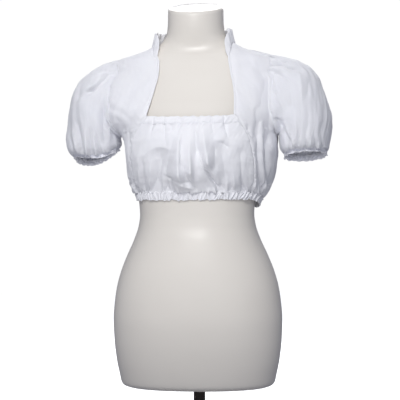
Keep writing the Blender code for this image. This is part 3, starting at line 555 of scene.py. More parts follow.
SIDE_FOLDS = (
    (-0.164, 0.556, -0.118, 0.524, 0.006, 0.0074, 0, -0.003, -0.001),
    (-0.16, 0.568, -0.12, 0.54, 0.004, 0.007, 0, 0.0014, 0.0006),
    (-0.155, 0.544, -0.119, 0.508, 0.004, 0.006, 0, 0.001, 0.0004),
    (-0.15, 0.533, -0.132, 0.49, 0.002, 0.0056, 0, -0.002, -0.0012),
    (-0.1245, 0.506, -0.12, 0.41, 0, 0.0034, 0, -0.0028, -0.0074),
    (-0.1354, 0.506, -0.129, 0.405, 0, 0.004, 0, -0.004, -0.0092),
    (-0.13, 0.49, -0.1245, 0.405, 0, 0.0028, 0, 0.001, 0.0034),
    (-0.145, 0.5, -0.139, 0.4, 0, 0.0044, 0, -0.0034, -0.0086),
    (0.112, 0.506, 0.113, 0.399, 0, 0.0037, 0, -0.0034, -0.0084),
    (0.12, 0.5, 0.1215, 0.399, 0, 0.0032, 0, 0.0012, 0.0038),
    (0.131, 0.545, 0.133, 0.402, 0, 0.005, 0, -0.005, -0.0092),
    (0.1385, 0.53, 0.1405, 0.402, 0, 0.003, 0, 0.0006, 0.002),
    (0.147, 0.555, 0.1475, 0.41, 0, 0.0054, 0, -0.006, -0.0086),
    (0.146, 0.59, 0.133, 0.53, 0.002, 0.008, 0, -0.0056, -0.004),
    (0.14, 0.536, 0.123, 0.49, 0, 0.005, 0, -0.0036, -0.0016),
    (0.153, 0.54, 0.152, 0.49, 0, 0.004, 0, -0.003, -0.006),
)
RIGHT_SLEEVE_FOLDS = (
    (-0.162, 0.633, -0.1969, 0.6278, 0, 0.004, 0, 0.0006, 0.0032),
    (-0.16, 0.629, -0.1779, 0.627, 0, 0.0032, 0, -0.0014, -0.001),
    (-0.174, 0.63, -0.205, 0.596, 0.004, 0.0049, 0, -0.0028, -0.0058),
    (-0.205, 0.596, -0.242, 0.569, -0.006, 0.0051, 0, -0.0058, -0.0019),
    (-0.186, 0.626, -0.212, 0.6, 0.004, 0.0047, 0, 0.0012, 0.0048),
    (-0.2318, 0.606, -0.2349, 0.588, 0, 0.0047, 0, -0.003, -0.0045),
    (-0.1635, 0.608, -0.1749, 0.555, 0.002, 0.0028, 0, -0.0054, -0.0009),
    (-0.1799, 0.58, -0.1795, 0.4944, 0, 0.0045, 0, -0.0015, -0.0051),
    (-0.1718, 0.59, -0.1724, 0.4984, 0, 0.0027, 0, 0.0015, 0.0045),
    (-0.166, 0.576, -0.166, 0.5, 0, 0.002, 0, -0.0033, -0.0033),
    (-0.233, 0.525, -0.225, 0.476, 0, 0.0062, 0, -0.004, -0.01),
    (-0.2079, 0.513, -0.2071, 0.47, 0, 0.0046, 0, -0.0034, -0.0092),
    (-0.1928, 0.498, -0.1878, 0.466, 0, 0.0042, 0, -0.0034, -0.0086),
    (-0.2421, 0.51, -0.231, 0.469, 0, 0.0043, 0, 0.0015, 0.006),
    (-0.2172, 0.51, -0.2153, 0.466, 0, 0.0048, 0, 0.0017, 0.0069),
    (-0.1998, 0.506, -0.199, 0.468, 0, 0.0037, 0, 0.0012, 0.0054),
    (-0.252, 0.503, -0.2439, 0.47, 0, 0.0028, 0, -0.0015, -0.006),
    (-0.18, 0.496, -0.177, 0.472, 0, 0.0027, 0, 0.0012, 0.0045),
)
LEFT_SLEEVE_FOLDS = (
    (0.142, 0.64, 0.1958, 0.6345, 0.003, 0.0023, 0, -0.0048, -0.0036),
    (0.1958, 0.6341, 0.218, 0.62, 0.002, 0.0028, 0, -0.0045, -0.0009),
    (0.145, 0.648, 0.21, 0.642, 0.004, 0.0031, 0, 0.0036, 0.0015),
    (0.154, 0.629, 0.19, 0.606, 0.003, 0.0027, 0, -0.0063, -0.0015),
    (0.154, 0.635, 0.196, 0.62, 0.002, 0.0031, 0, 0.0033, 0.0018),
    (0.157, 0.62, 0.176, 0.556, -0.005, 0.0023, 0, -0.0063, -0.0015),
    (0.164, 0.608, 0.18, 0.57, -0.003, 0.0034, 0, 0.003, 0.0012),
    (0.1906, 0.596, 0.1944, 0.56, 0, 0.009, 0, -0.0021, -0.0051),
    (0.2301, 0.604, 0.228, 0.582, 0, 0.007, 0, -0.0033, -0.0033),
    (0.2124, 0.615, 0.2161, 0.5765, 0, 0.0055, 0, 0.0024, 0.003),
    (0.16, 0.5306, 0.18, 0.5285, 0, 0.0028, 0, -0.0038, -0.0015),
    (0.16, 0.537, 0.178, 0.535, 0, 0.0034, 0, 0.0018, 0.0007),
    (0.174, 0.522, 0.202, 0.472, -0.002, 0.0028, 0, -0.0045, -0.0084),
    (0.1833, 0.5256, 0.202, 0.486, -0.002, 0.0033, 0, 0.0024, 0.0051),
    (0.2078, 0.513, 0.2095, 0.474, 0, 0.0025, 0, -0.0018, -0.0063),
    (0.2745, 0.51, 0.26, 0.473, 0, 0.0028, 0, -0.0021, -0.006),
    (0.2234, 0.498, 0.2232, 0.468, 0, 0.0025, 0, -0.0012, -0.0051),
    (0.2391, 0.5, 0.2389, 0.468, 0, 0.0025, 0, -0.0012, -0.0051),
    (0.2529, 0.5, 0.2507, 0.468, 0, 0.0025, 0, -0.0012, -0.0051),
    (0.231, 0.5, 0.231, 0.468, 0, 0.0027, 0, 0.0012, 0.0045),
    (0.246, 0.501, 0.245, 0.469, 0, 0.0027, 0, 0.0012, 0.0045),
    (0.1702, 0.505, 0.181, 0.47, 0, 0.0025, 0, -0.0012, -0.0048),
)

CASING_FOLDS = (
    (-0.07, 0.538, -0.07, 0.522, 0, 0.002, 0, -0.0014, -0.0022),
    (-0.05, 0.538, -0.0488, 0.522, 0, 0.0022, 0, -0.0016, -0.0026),
    (-0.017, 0.538, -0.0166, 0.522, 0, 0.0022, 0, -0.0016, -0.0026),
    (0.019, 0.538, 0.0184, 0.522, 0, 0.0022, 0, -0.0016, -0.0026),
    (0.0445, 0.536, 0.0445, 0.522, 0, 0.002, 0, -0.0006, -0.002),
    (0.067, 0.538, 0.0677, 0.522, 0, 0.0022, 0, -0.0016, -0.0026),
)
BACK_FOLDS = (
    (-0.13, 0.6, -0.03, 0.575, 0.006, 0.0085, 0, -0.0026, -0.0006),
    (-0.135, 0.57, -0.05, 0.535, 0.008, 0.008, 0, -0.0028, -0.0006),
    (-0.13, 0.585, -0.045, 0.556, 0.007, 0.006, 0, 0.0022, 0.0006),
    (0.13, 0.595, 0.035, 0.565, -0.006, 0.0085, 0, -0.0026, -0.0006),
    (0.135, 0.56, 0.045, 0.522, -0.008, 0.008, 0, -0.0028, -0.0006),
    (0.132, 0.578, 0.05, 0.545, -0.007, 0.006, 0, 0.0022, 0.0006),
    (-0.078, 0.52, -0.082, 0.39, 0.002, 0.0075, 0, -0.001, -0.0034),
    (-0.03, 0.49, -0.027, 0.39, 0.0015, 0.006, 0, -0.0008, -0.0034),
    (0.015, 0.505, 0.02, 0.39, -0.002, 0.008, 0, 0.001, 0.004),
    (0.062, 0.515, 0.068, 0.39, -0.002, 0.0065, 0, -0.0008, -0.0032),
    (0.105, 0.52, 0.108, 0.39, 0, 0.006, 0, 0.0008, 0.0034),
    (-0.112, 0.525, -0.112, 0.39, 0, 0.006, 0, 0.0008, 0.0034),
)

# Gathers drawn by rule: how many, how high, half width, shortest and longest reach
# count, relief, half width, shortest, longest
GATHERS = {
    "hem_front": (30, 0.0050, 0.0026, 0.005, 0.018),
    "hem_side": (11, 0.0046, 0.0034, 0.010, 0.048),
    "hem_back": (34, 0.0046, 0.0036, 0.010, 0.060),
    "casing": (22, 0.0012, 0.0028, 0.010, 0.030),
    "top_front": (14, 0.0014, 0.0026, 0.006, 0.020),
    "sleeve_head": (26, 0.0044, 0.0032, 0.012, 0.046),
    "sleeve_end": (38, 0.0052, 0.0030, 0.007, 0.024),
}


def stretch_rows(start, end, count):
    return np.linspace(start, end, count + 1)


def fine_cloth_rows(low):
    """Fine rows from the hem casing to the neck, closest together at the armhole's ends."""
    turn = (1 - np.cos(np.pi * np.arange(1, FINE_ARMHOLE_ROWS + 1) / FINE_ARMHOLE_ROWS)) / 2
    armhole = UNDERARM + (LEFT_SHOULDER_TIP - UNDERARM) * turn
    upper = stretch_rows(LEFT_SHOULDER_TIP, CLOTH_ROWS[-1], FINE_UPPER_ROWS)[1:]
    return np.concatenate([stretch_rows(low, UNDERARM, FINE_LOWER_ROWS), armhole, upper])


def fold_field(x, height, folds):
    """How far the listed folds move the cloth, by the distance to each fold's bowed line."""
    total = np.zeros_like(x)
    for start_x, start_height, end_x, end_height, bow, half_width, lean, start_relief, end_relief in folds:
        run = np.array([end_x - start_x, end_height - start_height])
        length = np.hypot(*run)
        away_x, away_height = x - start_x, height - start_height
        along = (away_x * run[0] + away_height * run[1]) / length
        across = (away_height * run[0] - away_x * run[1]) / length
        share = np.clip(along / length, 0, 1)
        sideways = across - 4 * bow * share * (1 - share)
        past = along - share * length
        sideways = sideways / (1 + lean * np.tanh(sideways / (0.4 * half_width)))
        away = np.hypot(sideways, past * min(0.6, half_width / SHORTEST_END))
        relief = start_relief + (end_relief - start_relief) * share
        total += relief * np.exp(-((away / half_width) ** FOLD_SHARPNESS))
    return total


def gather_field(across, along, span, name, seed, closed=False):
    """Uneven gathers that start at a gathered edge. Each has its own place, slant, height and reach."""
    count, relief, half_width, shortest, longest = GATHERS[name]
    draw = np.random.RandomState(seed)
    total = np.zeros_like(across)
    for k in range(count):
        place = span * (k + 0.5 + draw.uniform(-GATHER_JITTER, GATHER_JITTER)) / count
        slant, height = draw.uniform(-GATHER_SLANT, GATHER_SLANT), relief * draw.uniform(*GATHER_HEIGHT)
        width, reach = half_width * draw.uniform(*GATHER_WIDTH), draw.uniform(shortest, longest)
        away = across - place - slant * along
        if closed:
            away = (away + span / 2) % span - span / 2
        crest = height * np.exp(-((np.abs(away) / width) ** GATHER_SHARPNESS))
        total += crest * np.exp(-((along / reach) ** 2))
    return total


def soft_unevenness(across, along, size, seed):
    """Small soft unevenness, as a sum of slanting waves between about -1 and 1."""
    draw = np.random.RandomState(seed)
    total, count = np.zeros_like(across), 8
    for _ in range(count):
        heading, phase = draw.uniform(0, math.pi), draw.uniform(0, 2 * math.pi)
        length = size * draw.uniform(0.6, 1.7)
        walked = across * math.cos(heading) + along * math.sin(heading)
        total += np.sin(2 * math.pi * walked / length + phase)
    return total / math.sqrt(count)


def walked_across(grid):
    steps = np.linalg.norm(np.diff(grid, axis=1), axis=2)
    return np.concatenate([np.zeros((len(grid), 1)), np.cumsum(steps, axis=1)], axis=1)


def walked_along(grid):
    steps = np.linalg.norm(np.diff(grid, axis=0), axis=2)
    return np.concatenate([np.zeros((1, grid.shape[1])), np.cumsum(steps, axis=0)], axis=0)


def laid_cloth(angles, heights):
    """A grid on the cloth's inner face, its normals and its walks across and along."""
    surface = cloth_point(angles, heights)
    return surface, cloth_normal(angles, heights), walked_across(surface), walked_along(surface)


def seam_grooves(across, width):
    """The cloth dips at both edges of a panel, where the seam pulls it in."""
    near = np.minimum(across, width - across)
    return -SEAM_GROOVE * np.exp(-((near / SEAM_GROOVE_WIDTH) ** 2))


def seam_puckers(across, width, along, seed):
    """Short puckers across a seam."""
    size, height, reach = PUCKER
    near = np.minimum(across, width - across)
    ripple = soft_unevenness(np.zeros_like(along), along, size, seed)
    return height * ripple * np.exp(-((near / reach) ** 2))


def shell_object(name, inner, outer, closed, uv):
    """A thin cloth shell between two grids, with its edges closed and its length and width as UV."""
    rows, columns = inner.shape[:2]
    points = np.concatenate([inner.reshape(-1, 3), outer.reshape(-1, 3)])
    points[:, 2] += FORM_LEVEL
    outside = rows * columns
    r, c = np.meshgrid(np.arange(rows - 1), np.arange(columns if closed else columns - 1), indexing="ij")
    a, b = (r * columns + c).ravel(), (r * columns + (c + 1) % columns).ravel()
    d, e = a + columns, b + columns
    faces = [np.stack([a + outside, b + outside, e + outside, d + outside], 1), np.stack([b, a, d, e], 1)]
    top_row = (rows - 1) * columns
    if closed:
        borders = [[*range(columns), 0], [top_row + k % columns for k in range(columns, -1, -1)]]
    else:
        right = [k * columns + columns - 1 for k in range(1, rows)]
        top = [top_row + k for k in range(columns - 2, -1, -1)]
        left = [k * columns for k in range(rows - 2, -1, -1)]
        borders = [[*range(columns)] + right + top + left]
    for loop in borders:
        loop = np.array(loop)
        faces.append(np.stack([loop[:-1], loop[1:], loop[1:] + outside, loop[:-1] + outside], 1))
    faces = np.concatenate(faces)
    mesh = bpy.data.meshes.new(name)
    mesh.from_pydata(points.tolist(), [], faces.tolist())
    flat = np.tile(uv.reshape(-1, 2), (2, 1))
    layer = mesh.uv_layers.new(name="cloth_metres")
    layer.data.foreach_set("uv", flat[faces.ravel()].ravel().astype(np.float32))
    return finished_object(name, mesh)


def finished_object(name, mesh):
    shape = bmesh.new()
    shape.from_mesh(mesh)
    bmesh.ops.recalc_face_normals(shape, faces=shape.faces)
    shape.to_mesh(mesh)
    shape.free()
    mesh.shade_smooth()
    made = bpy.data.objects.new(name, mesh)
    bpy.context.scene.collection.objects.link(made)
    return made


def dress(made, node, finish):
    """Rides the body, stands for its CAD node, which it hides, and takes its material."""
    made.data.materials.append(finish)
    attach(made, "root")
    if node:
        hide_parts(node)
    return made


def cloth_piece(name, node, middle, normals, closed,
                thickness=SHELL, finish=None):
    """A cloth shell about its middle surface."""
    across, along = walked_across(middle), walked_along(middle)
    uv = np.stack([across, along], axis=-1)
    made = shell_object(name, middle - thickness / 2 * normals, middle + thickness / 2 * normals, closed, uv)
    dress(made, node, finish or cotton)
    return made


def stitch_row(name, points, normals):
    """A row of short stitches along a line on the cloth, as one joined mesh."""
    steps = np.linalg.norm(np.diff(points, axis=0), axis=1)
    walked = np.concatenate([[0], np.cumsum(steps)])

    def read(line, places):
        return np.stack([np.interp(places, walked, line[:, k]) for k in range(3)], 1)

    count = int(walked[-1] / STITCH_PITCH)
    at = (np.arange(count) + 0.5) * STITCH_PITCH
    centre, out = read(points, at), unit(read(normals, at))
    along = unit(read(points, at + STITCH_LENGTH / 2) - read(points, at - STITCH_LENGTH / 2))
    aside = unit(np.cross(along, out))
    corners = []
    for share, swell in STITCH_RINGS:
        spine = centre + share * STITCH_LENGTH * along
        for turn in range(STITCH_SIDES):
            angle = 2 * math.pi * turn / STITCH_SIDES
            corners.append(spine + STITCH_WIDTH * swell * (math.cos(angle) * aside + math.sin(angle) * out))
    corners = np.stack(corners, 1).reshape(-1, 3)
    faces = []
    last = STITCH_SIDES * (len(STITCH_RINGS) - 1)
    for base in range(0, len(corners), STITCH_SIDES * len(STITCH_RINGS)):
        for low in range(base, base + last, STITCH_SIDES):
            for turn in range(STITCH_SIDES):
                a, b = low + turn, low + (turn + 1) % STITCH_SIDES
                faces.append((a, b, b + STITCH_SIDES, a + STITCH_SIDES))
        faces.append(tuple(range(base, base + STITCH_SIDES)))
        faces.append(tuple(range(base + last, base + last + STITCH_SIDES)))
    corners[:, 2] += FORM_LEVEL
    mesh = bpy.data.meshes.new(name)
    mesh.from_pydata(corners.tolist(), [], faces)
    return dress(finished_object(name, mesh), None, thread)


def set_inputs(node, values):
    for socket, value in values.items():
        node.inputs[socket].default_value = value


def noise_node(nodes, links, coordinates, scale, detail=2.0, rough=0.5):
    made = nodes.new("ShaderNodeTexNoise")
    set_inputs(made, {"Scale": scale, "Detail": detail, "Roughness": rough})
    links.new(coordinates, made.inputs["Vector"])
    return made


def ramp_node(nodes, links, value, stops):
    made = nodes.new("ShaderNodeValToRGB")
    elements = made.color_ramp.elements
    for place, (at, colour) in enumerate(stops):
        element = elements[place] if place < 2 else elements.new(at)
        element.position, element.color = at, (*colour, 1)
    links.new(value, made.inputs["Fac"])
    return made


def bump_node(nodes, links, value, strength, distance, before=None):
    made = nodes.new("ShaderNodeBump")
    set_inputs(made, {"Strength": strength, "Distance": distance})
    links.new(value, made.inputs["Height"])
    if before is not None:
        links.new(before, made.inputs["Normal"])
    return made


def mottled(nodes, links, shader, coordinates, noise, stops):
    """Colours the shader by a soft noise, and returns the noise."""
    tone = noise_node(nodes, links, coordinates, *noise)
    colour = ramp_node(nodes, links, tone.outputs["Fac"], stops)
    links.new(colour.outputs["Color"], shader.inputs["Base Color"])
    return tone


def new_material(name, roughness, metallic=0.0):
    made = bpy.data.materials.new(name)
    made.use_nodes = True
    nodes, links = made.node_tree.nodes, made.node_tree.links
    shader = nodes["Principled BSDF"]
    set_inputs(shader, {"Roughness": roughness, "Metallic": metallic})
    return made, nodes, links, shader


def cotton_material(name, cool, warm, translucency):
    """Crisp white cotton: a fine plain weave, a soft sheen and a slightly blue cast in its tone."""
    made, nodes, links, shader = new_material(name, 0.82)
    place = nodes.new("ShaderNodeUVMap")
    place.uv_map = "cloth_metres"
    body = nodes.new("ShaderNodeTexCoord")
    mottled(nodes, links, shader, body.outputs["Object"], (22.0, 3.0, 0.55), ((0.30, cool), (0.70, warm)))
    weave = None
    for direction in ("X", "Y"):
        thread_wave = nodes.new("ShaderNodeTexWave")
        thread_wave.bands_direction = direction
        set_inputs(thread_wave, {"Scale": THREADS_PER_METRE / 20, "Distortion": 0.6})
        links.new(place.outputs["UV"], thread_wave.inputs["Vector"])
        weave = bump_node(nodes, links, thread_wave.outputs["Fac"], 0.16, 0.00012,
                          weave.outputs["Normal"] if weave else None)
    crumple = noise_node(nodes, links, body.outputs["Object"], 120.0, 3.0, 0.6)
    crumpled = bump_node(nodes, links, crumple.outputs["Fac"], 0.22, 0.0006, weave.outputs["Normal"])
    links.new(crumpled.outputs["Normal"], shader.inputs["Normal"])
    set_inputs(shader, {"Subsurface Weight": translucency, "Subsurface Radius": (1.0, 1.0, 1.0),
                        "Subsurface Scale": CLOTH_LIGHT_REACH, "Sheen Weight": 0.25,
                        "Sheen Roughness": 0.45, "Specular IOR Level": 0.25})
    return made


def thread_material():
    """White sewing thread with a fine twist."""
    made, nodes, links, shader = new_material("white_sewing_thread", 0.6)
    body = nodes.new("ShaderNodeTexCoord")
    stops = ((0.35, THREAD_DARK), (0.65, THREAD_LIGHT))
    mottled(nodes, links, shader, body.outputs["Object"], (900.0,), stops)
    return made


def shell_material(name, dark, light):
    """The form's smooth lacquer, a little mottled and scuffed, in the colours given: cream for the body, and
    a darker grey on the neck top that is painted shade.
    """
    made, nodes, links, shader = new_material(name, 0.36)
    body = nodes.new("ShaderNodeTexCoord")
    mottled(nodes, links, shader, body.outputs["Object"], (5.0, 4.0, 0.55), ((0.25, dark), (0.75, light)))
    scuffs = noise_node(nodes, links, body.outputs["Object"], 60.0, 4.0, 0.6)
    wear = nodes.new("ShaderNodeMapRange")
    set_inputs(wear, {"From Min": 0.3, "From Max": 0.7, "To Min": 0.30, "To Max": 0.42})
    links.new(scuffs.outputs["Fac"], wear.inputs["Value"])
    links.new(wear.outputs["Result"], shader.inputs["Roughness"])
    dimples = noise_node(nodes, links, body.outputs["Object"], 28.0, 2.0)
    skin = bump_node(nodes, links, dimples.outputs["Fac"], 0.08, 0.0010)
    links.new(skin.outputs["Normal"], shader.inputs["Normal"])
    set_inputs(shader, {"Specular IOR Level": 0.35, "Coat Weight": 0.08, "Coat Roughness": 0.2})
    return made


def metal_material(name, dark, light, roughness, metallic, scale):
    made, nodes, links, shader = new_material(name, roughness, metallic)
    body = nodes.new("ShaderNodeTexCoord")
    stretch = nodes.new("ShaderNodeMapping")
    stretch.inputs["Scale"].default_value = scale
    links.new(body.outputs["Object"], stretch.inputs["Vector"])
    stops = ((0.3, dark), (0.7, light))
    tone = mottled(nodes, links, shader, stretch.outputs["Vector"], (40.0, 4.0, 0.6), stops)
    grain = bump_node(nodes, links, tone.outputs["Fac"], 0.10, 0.0004)
    links.new(grain.outputs["Normal"], shader.inputs["Normal"])
    return made


def floor_material():
    made, nodes, links, shader = new_material("pale_floor", 0.9)
    body = nodes.new("ShaderNodeTexCoord")
    dark, light = ((grey,) * 3 for grey in FLOOR_TONES)
    mottled(nodes, links, shader, body.outputs["Object"], (3.0,), ((0.0, dark), (1.0, light)))
    set_inputs(shader, {"Specular IOR Level": 0.1, "Emission Color": (1, 1, 1, 1),
                        "Emission Strength": FLOOR_GLOW})
    return made


def capped_rings(rings, columns):
    """Faces of a stack of rings, closed at both ends."""
    faces = [tuple(range(columns)), tuple((rings - 1) * columns + c for c in range(columns))]
    for r in range(rings - 1):
        for c in range(columns):
            a, b = r * columns + c, r * columns + (c + 1) % columns
            faces.append((a, b, b + columns, a + columns))
    return faces


def make_form():
    """The dress form as fine rings, with a slanting, slightly sunk top to the neck."""
    heights = [FORM_SECTIONS[0][0]]
    for low, high in zip(FORM_SECTIONS, FORM_SECTIONS[1:]):
        parts = max(3, math.ceil((high[0] - low[0]) / FORM_ROW))
        heights += list(np.linspace(low[0], high[0], parts + 1)[1:])
    angles = 2 * np.pi * np.arange(FINE_FORM_COLUMNS) / FINE_FORM_COLUMNS
    rings = ring_point(angles[None, :], np.array(heights)[:, None], 0, 0, 0)
    top, middle = rings[-1], rings[-1].mean(axis=0)
    cap = [middle + (top - middle) * share - np.array([0, 0, sink]) for share, sink in CAP_RINGS]
    underside = rings[0].mean(axis=0)
    base = [underside + (rings[0] - underside) * share for share in (0.15, 0.6)]
    rings = np.concatenate([base, rings, cap])
    points = rings.reshape(-1, 3) + np.array([0, 0, FORM_LEVEL])
    faces = capped_rings(len(rings), FINE_FORM_COLUMNS)
    mesh = bpy.data.meshes.new("form_shell")
    mesh.from_pydata(points.tolist(), [], faces)
    dress(finished_object("form_shell", mesh), "dress_form", form_lacquer)
    # The neck top takes the darker grey, painted shade for the shade it lies in.
    mesh.materials.append(painted_shade_neck_finish)
    for index in (1, *range(len(faces) - len(CAP_RINGS) * FINE_FORM_COLUMNS, len(faces))):
        mesh.polygons[index].material_index = 1


def panel_edges(name, rows):
    """Angles of a panel's two edges at each row."""
    if name in ("front_middle", "front_casing"):
        seam = angle_at(princess_seam(rows)[:, 0], rows)
        return -math.pi - seam, seam
    if name == "back":
        return armhole_angle(rows, LEFT), math.pi - armhole_angle(rows, RIGHT)
    side = LEFT if name == "front_side_left" else RIGHT
    below = rows < CLOTH_ROWS[CORNER_ROW]
    edge = np.where(below, princess_seam(rows)[:, 0], neck_distance(rows, side))
    return angle_at(edge, rows), -armhole_angle(rows, side)


def fine_grid(name, rows, columns, edge_share=1.0):
    starts, ends = panel_edges(name, rows)
    share, heights = np.meshgrid(np.linspace(0, 1, columns + 1), rows)
    if edge_share < 1:
        angles = starts[0] + (ends[0] - starts[0]) * share
        angles = angles + (starts - starts[0])[:, None] * (1 - ramp(share, 0, edge_share))
        angles = angles + (ends - ends[0])[:, None] * ramp(share, 1 - edge_share, 1)
    else:
        angles = starts[:, None] + (ends - starts)[:, None] * share
    return angles, heights, share


def middle_heights(angles, heights):
    """The middle panel's rows sag between the corners of the neckline."""
    sag = NECK_DIP * np.clip(-np.sin(angles), 0, 1) ** 6
    return heights - sag * ramp(heights, UNDERARM, CLOTH_ROWS[CORNER_ROW])


def neck_distance(rows, side):
    """The neck edge's distance from the middle. The neckline hangs a little towards the left."""
    share = np.clip((rows - CLOTH_ROWS[CORNER_ROW]) / (SHOULDER_TIP - CLOTH_ROWS[CORNER_ROW]), 0, 1)
    return neck_edge(rows)[:, 0] + side * NECK_SHIFT * np.sin(np.pi * share)


def softened(surface, heights, near_edge):
    """Evens out the cloth round the end of the armhole, away from the panel's edges."""
    amount = np.exp(-(((heights - UNDERARM) / SOFT_REACH) ** 2)) * ramp(near_edge, 0.0, 0.012)
    surface = surface.copy()
    for _ in range(SOFT_ROUNDS):
        mean = (surface[2:, 1:-1] + surface[:-2, 1:-1] + surface[1:-1, 2:] + surface[1:-1, :-2]) / 4
        surface[1:-1, 1:-1] += amount[1:-1, 1:-1, None] * (mean - surface[1:-1, 1:-1])
    return surface


def creased(surface, normals, heights, across, along, folds, edge, unevenness, seeds):
    """A panel's middle surface. Its folds end at its seams, which dip and pucker, and no valley uses
    more than a share of the room between the cloth and the form."""
    width = across[:, -1:]
    large, large_height, fine, fine_height = unevenness
    relief = (folds + large_height * soft_unevenness(across, along, large, seeds[0])) * edge
    relief += fine_height * soft_unevenness(across, along, fine, seeds[1])
    relief = relief * ramp(along, TUCK, TUCK + TUCK_FADE) + seam_grooves(across, width)
    relief += seam_puckers(across, width, along, seeds[2])
    relief = np.maximum(relief, -VALLEY_SHARE * ease_section(heights).mean(axis=-1))
    return surface + (CLOTH / 2 + relief)[..., None] * normals


def make_front_middle():
    """The gathered bust panel between the seams that run down from the corners of the neckline."""
    top = CLOTH_ROWS[FRONT_CASING_ROW] + TUCK
    rows = stretch_rows(HEM + HEM_CASING - TUCK, top, FRONT_ROWS)
    angles, heights, share = fine_grid("front_middle", rows, FINE_COLUMNS["front"])
    heights = middle_heights(angles, heights)
    surface, normals, across, along = laid_cloth(angles, heights)
    width = across[:, -1:].mean()
    edge = ramp(share, 0, 0.05) * (1 - ramp(share, 0.95, 1))
    folds = fold_field(surface[..., 0], heights, MIDDLE_FOLDS)
    folds += gather_field(across, along, width, "hem_front", 3)
    folds += gather_field(across, along[-1:] - along, width, "top_front", 5)
    middle = creased(surface, normals, heights, across, along, folds, edge, MIDDLE_UNEVENNESS, (11, 12, 4))
    tops = middle[-1] + 0.0011 * normals[-1] - np.array([0, 0, 0.0016])
    row = stitch_row("bust_top_stitching", tops, normals[-1])
    cloth_piece("bust_panel", "front_middle", middle, normals, False)


def make_front_casing():
    """The folded, gathered casing along the neckline's lower edge."""
    low, high = CLOTH_ROWS[FRONT_CASING_ROW], CLOTH_ROWS[CORNER_ROW]
    rows = stretch_rows(low, high, CASING_FINE_ROWS)
    angles, heights, _ = fine_grid("front_casing", rows, FINE_COLUMNS["front"])
    heights = middle_heights(angles, heights)
    surface, normals, across, along = laid_cloth(angles, heights)
    width, tall = across[:, -1:], along[-1:]
    profile = np.sin(np.pi * np.clip(along / tall, 0, 1)) ** 0.6
    relief = 0.0002 * profile + fold_field(surface[..., 0], heights, CASING_FOLDS)
    relief += gather_field(across, along, width.mean(), "casing", 8) * (0.4 + 0.6 * profile)
    relief += 0.0003 * soft_unevenness(across, along, 0.02, 13)
    relief -= 0.0007 * np.exp(-((along / 0.003) ** 2))
    middle = surface + (FOLDED_CLOTH / 2 + relief)[..., None] * normals
    middle[-1, :, 2] += 0.0007 * soft_unevenness(across[-1], along[-1] * 0, 0.012, 14)
    row = stitch_row("casing_stitching", middle[3] + 0.0010 * normals[3], normals[3])
    cloth_piece("neckline_casing", "front_casing", middle, normals, False,
                thickness=FOLDED_SHELL)


def make_front_side(side):
    """From the shoulder to the hem, between the neck edge or the seam below it and the armhole."""
    name = "front_side_" + SIDE_NAMES[side]
    rows = fine_cloth_rows(HEM + HEM_CASING - TUCK)
    angles, heights, _ = fine_grid(name, rows, FINE_COLUMNS["side"])
    if side == RIGHT:
        angles, heights = math.pi - angles[:, ::-1], heights[:, ::-1]
    surface, normals, across, along = laid_cloth(angles, heights)
    width = across[:, -1:]
    near_edge = np.minimum(across, width - across)
    edge = ramp(near_edge, 0.001, 0.007)
    surface = softened(surface, heights, near_edge)
    folds = fold_field(surface[..., 0], heights, SIDE_FOLDS)
    folds += gather_field(across, along, width[0, 0], "hem_side", 20 + side)
    seeds = (30 + side, 32 + side, 34 + side)
    middle = creased(surface, normals, heights, across, along, folds, edge, SIDE_UNEVENNESS, seeds)
    shown = "side_front_" + SIDE_NAMES[side]
    cloth_piece(shown, name, middle, normals, False)


def make_back():
    """The plain back in one piece, with drag folds between the armholes and gathers over the hem."""
    rows = fine_cloth_rows(HEM + HEM_CASING - TUCK)
    angles, heights, _ = fine_grid("back", rows, FINE_COLUMNS["back"], BACK_EDGE_SHARE)
    surface, normals, across, along = laid_cloth(angles, heights)
    width = across[:, -1:]
    near_edge = np.minimum(across, width - across)
    edge = ramp(near_edge, 0.001, 0.008)
    surface = softened(surface, heights, near_edge)
    folds = fold_field(surface[..., 0], surface[..., 2], BACK_FOLDS)
    folds += gather_field(across, along, width[0, 0], "hem_back", 41)
    middle = creased(surface, normals, heights, across, along, folds, edge, BACK_UNEVENNESS, (42, 43, 44))
    cloth_piece("back_panel", "back", middle, normals, False)


def band_walk(grid):
    """The walks across and along a closed band, with each row as long as the first, and its length."""
    across, along = walked_across(grid), walked_along(grid)
    length, columns = across[0, -1], grid.shape[1]
    return across / across[:, -1:] * length, along, length * columns / (columns - 1)


def crinkled_band(across, along, span, flutes, seed, height):
    """An elastic casing: uneven slanting flutes, pinched flat along its stitched edges."""
    draw = np.random.RandomState(seed)
    level = np.clip(along / along[-1:], 0, 1)
    relief = np.zeros_like(across)
    for k in range(flutes):
        place = span * (k + 0.5 + draw.uniform(-FLUTE_JITTER, FLUTE_JITTER)) / flutes
        slant = draw.uniform(*FLUTE_SLANT)
        width = span / flutes * draw.uniform(*FLUTE_WIDTH)
        rise = height * draw.uniform(*FLUTE_HEIGHT)
        away = (across - place - slant * along + span / 2) % span - span / 2
        relief += rise * np.exp(-((np.abs(away) / width) ** FLUTE_SHARPNESS))
    pinches = sum(np.exp(-(((level - at) / PINCH_WIDTH) ** 2)) for at in PINCHES)
    return relief * (1 - PINCH_DEPTH * pinches)


def ragged_edges(across, along, shape, seed):
    """How far a band's two long edges wander up and down, against each other."""
    height, size = shape
    return height * soft_unevenness(across, along * 0, size, seed) * (2 * along / along[-1:] - 1)


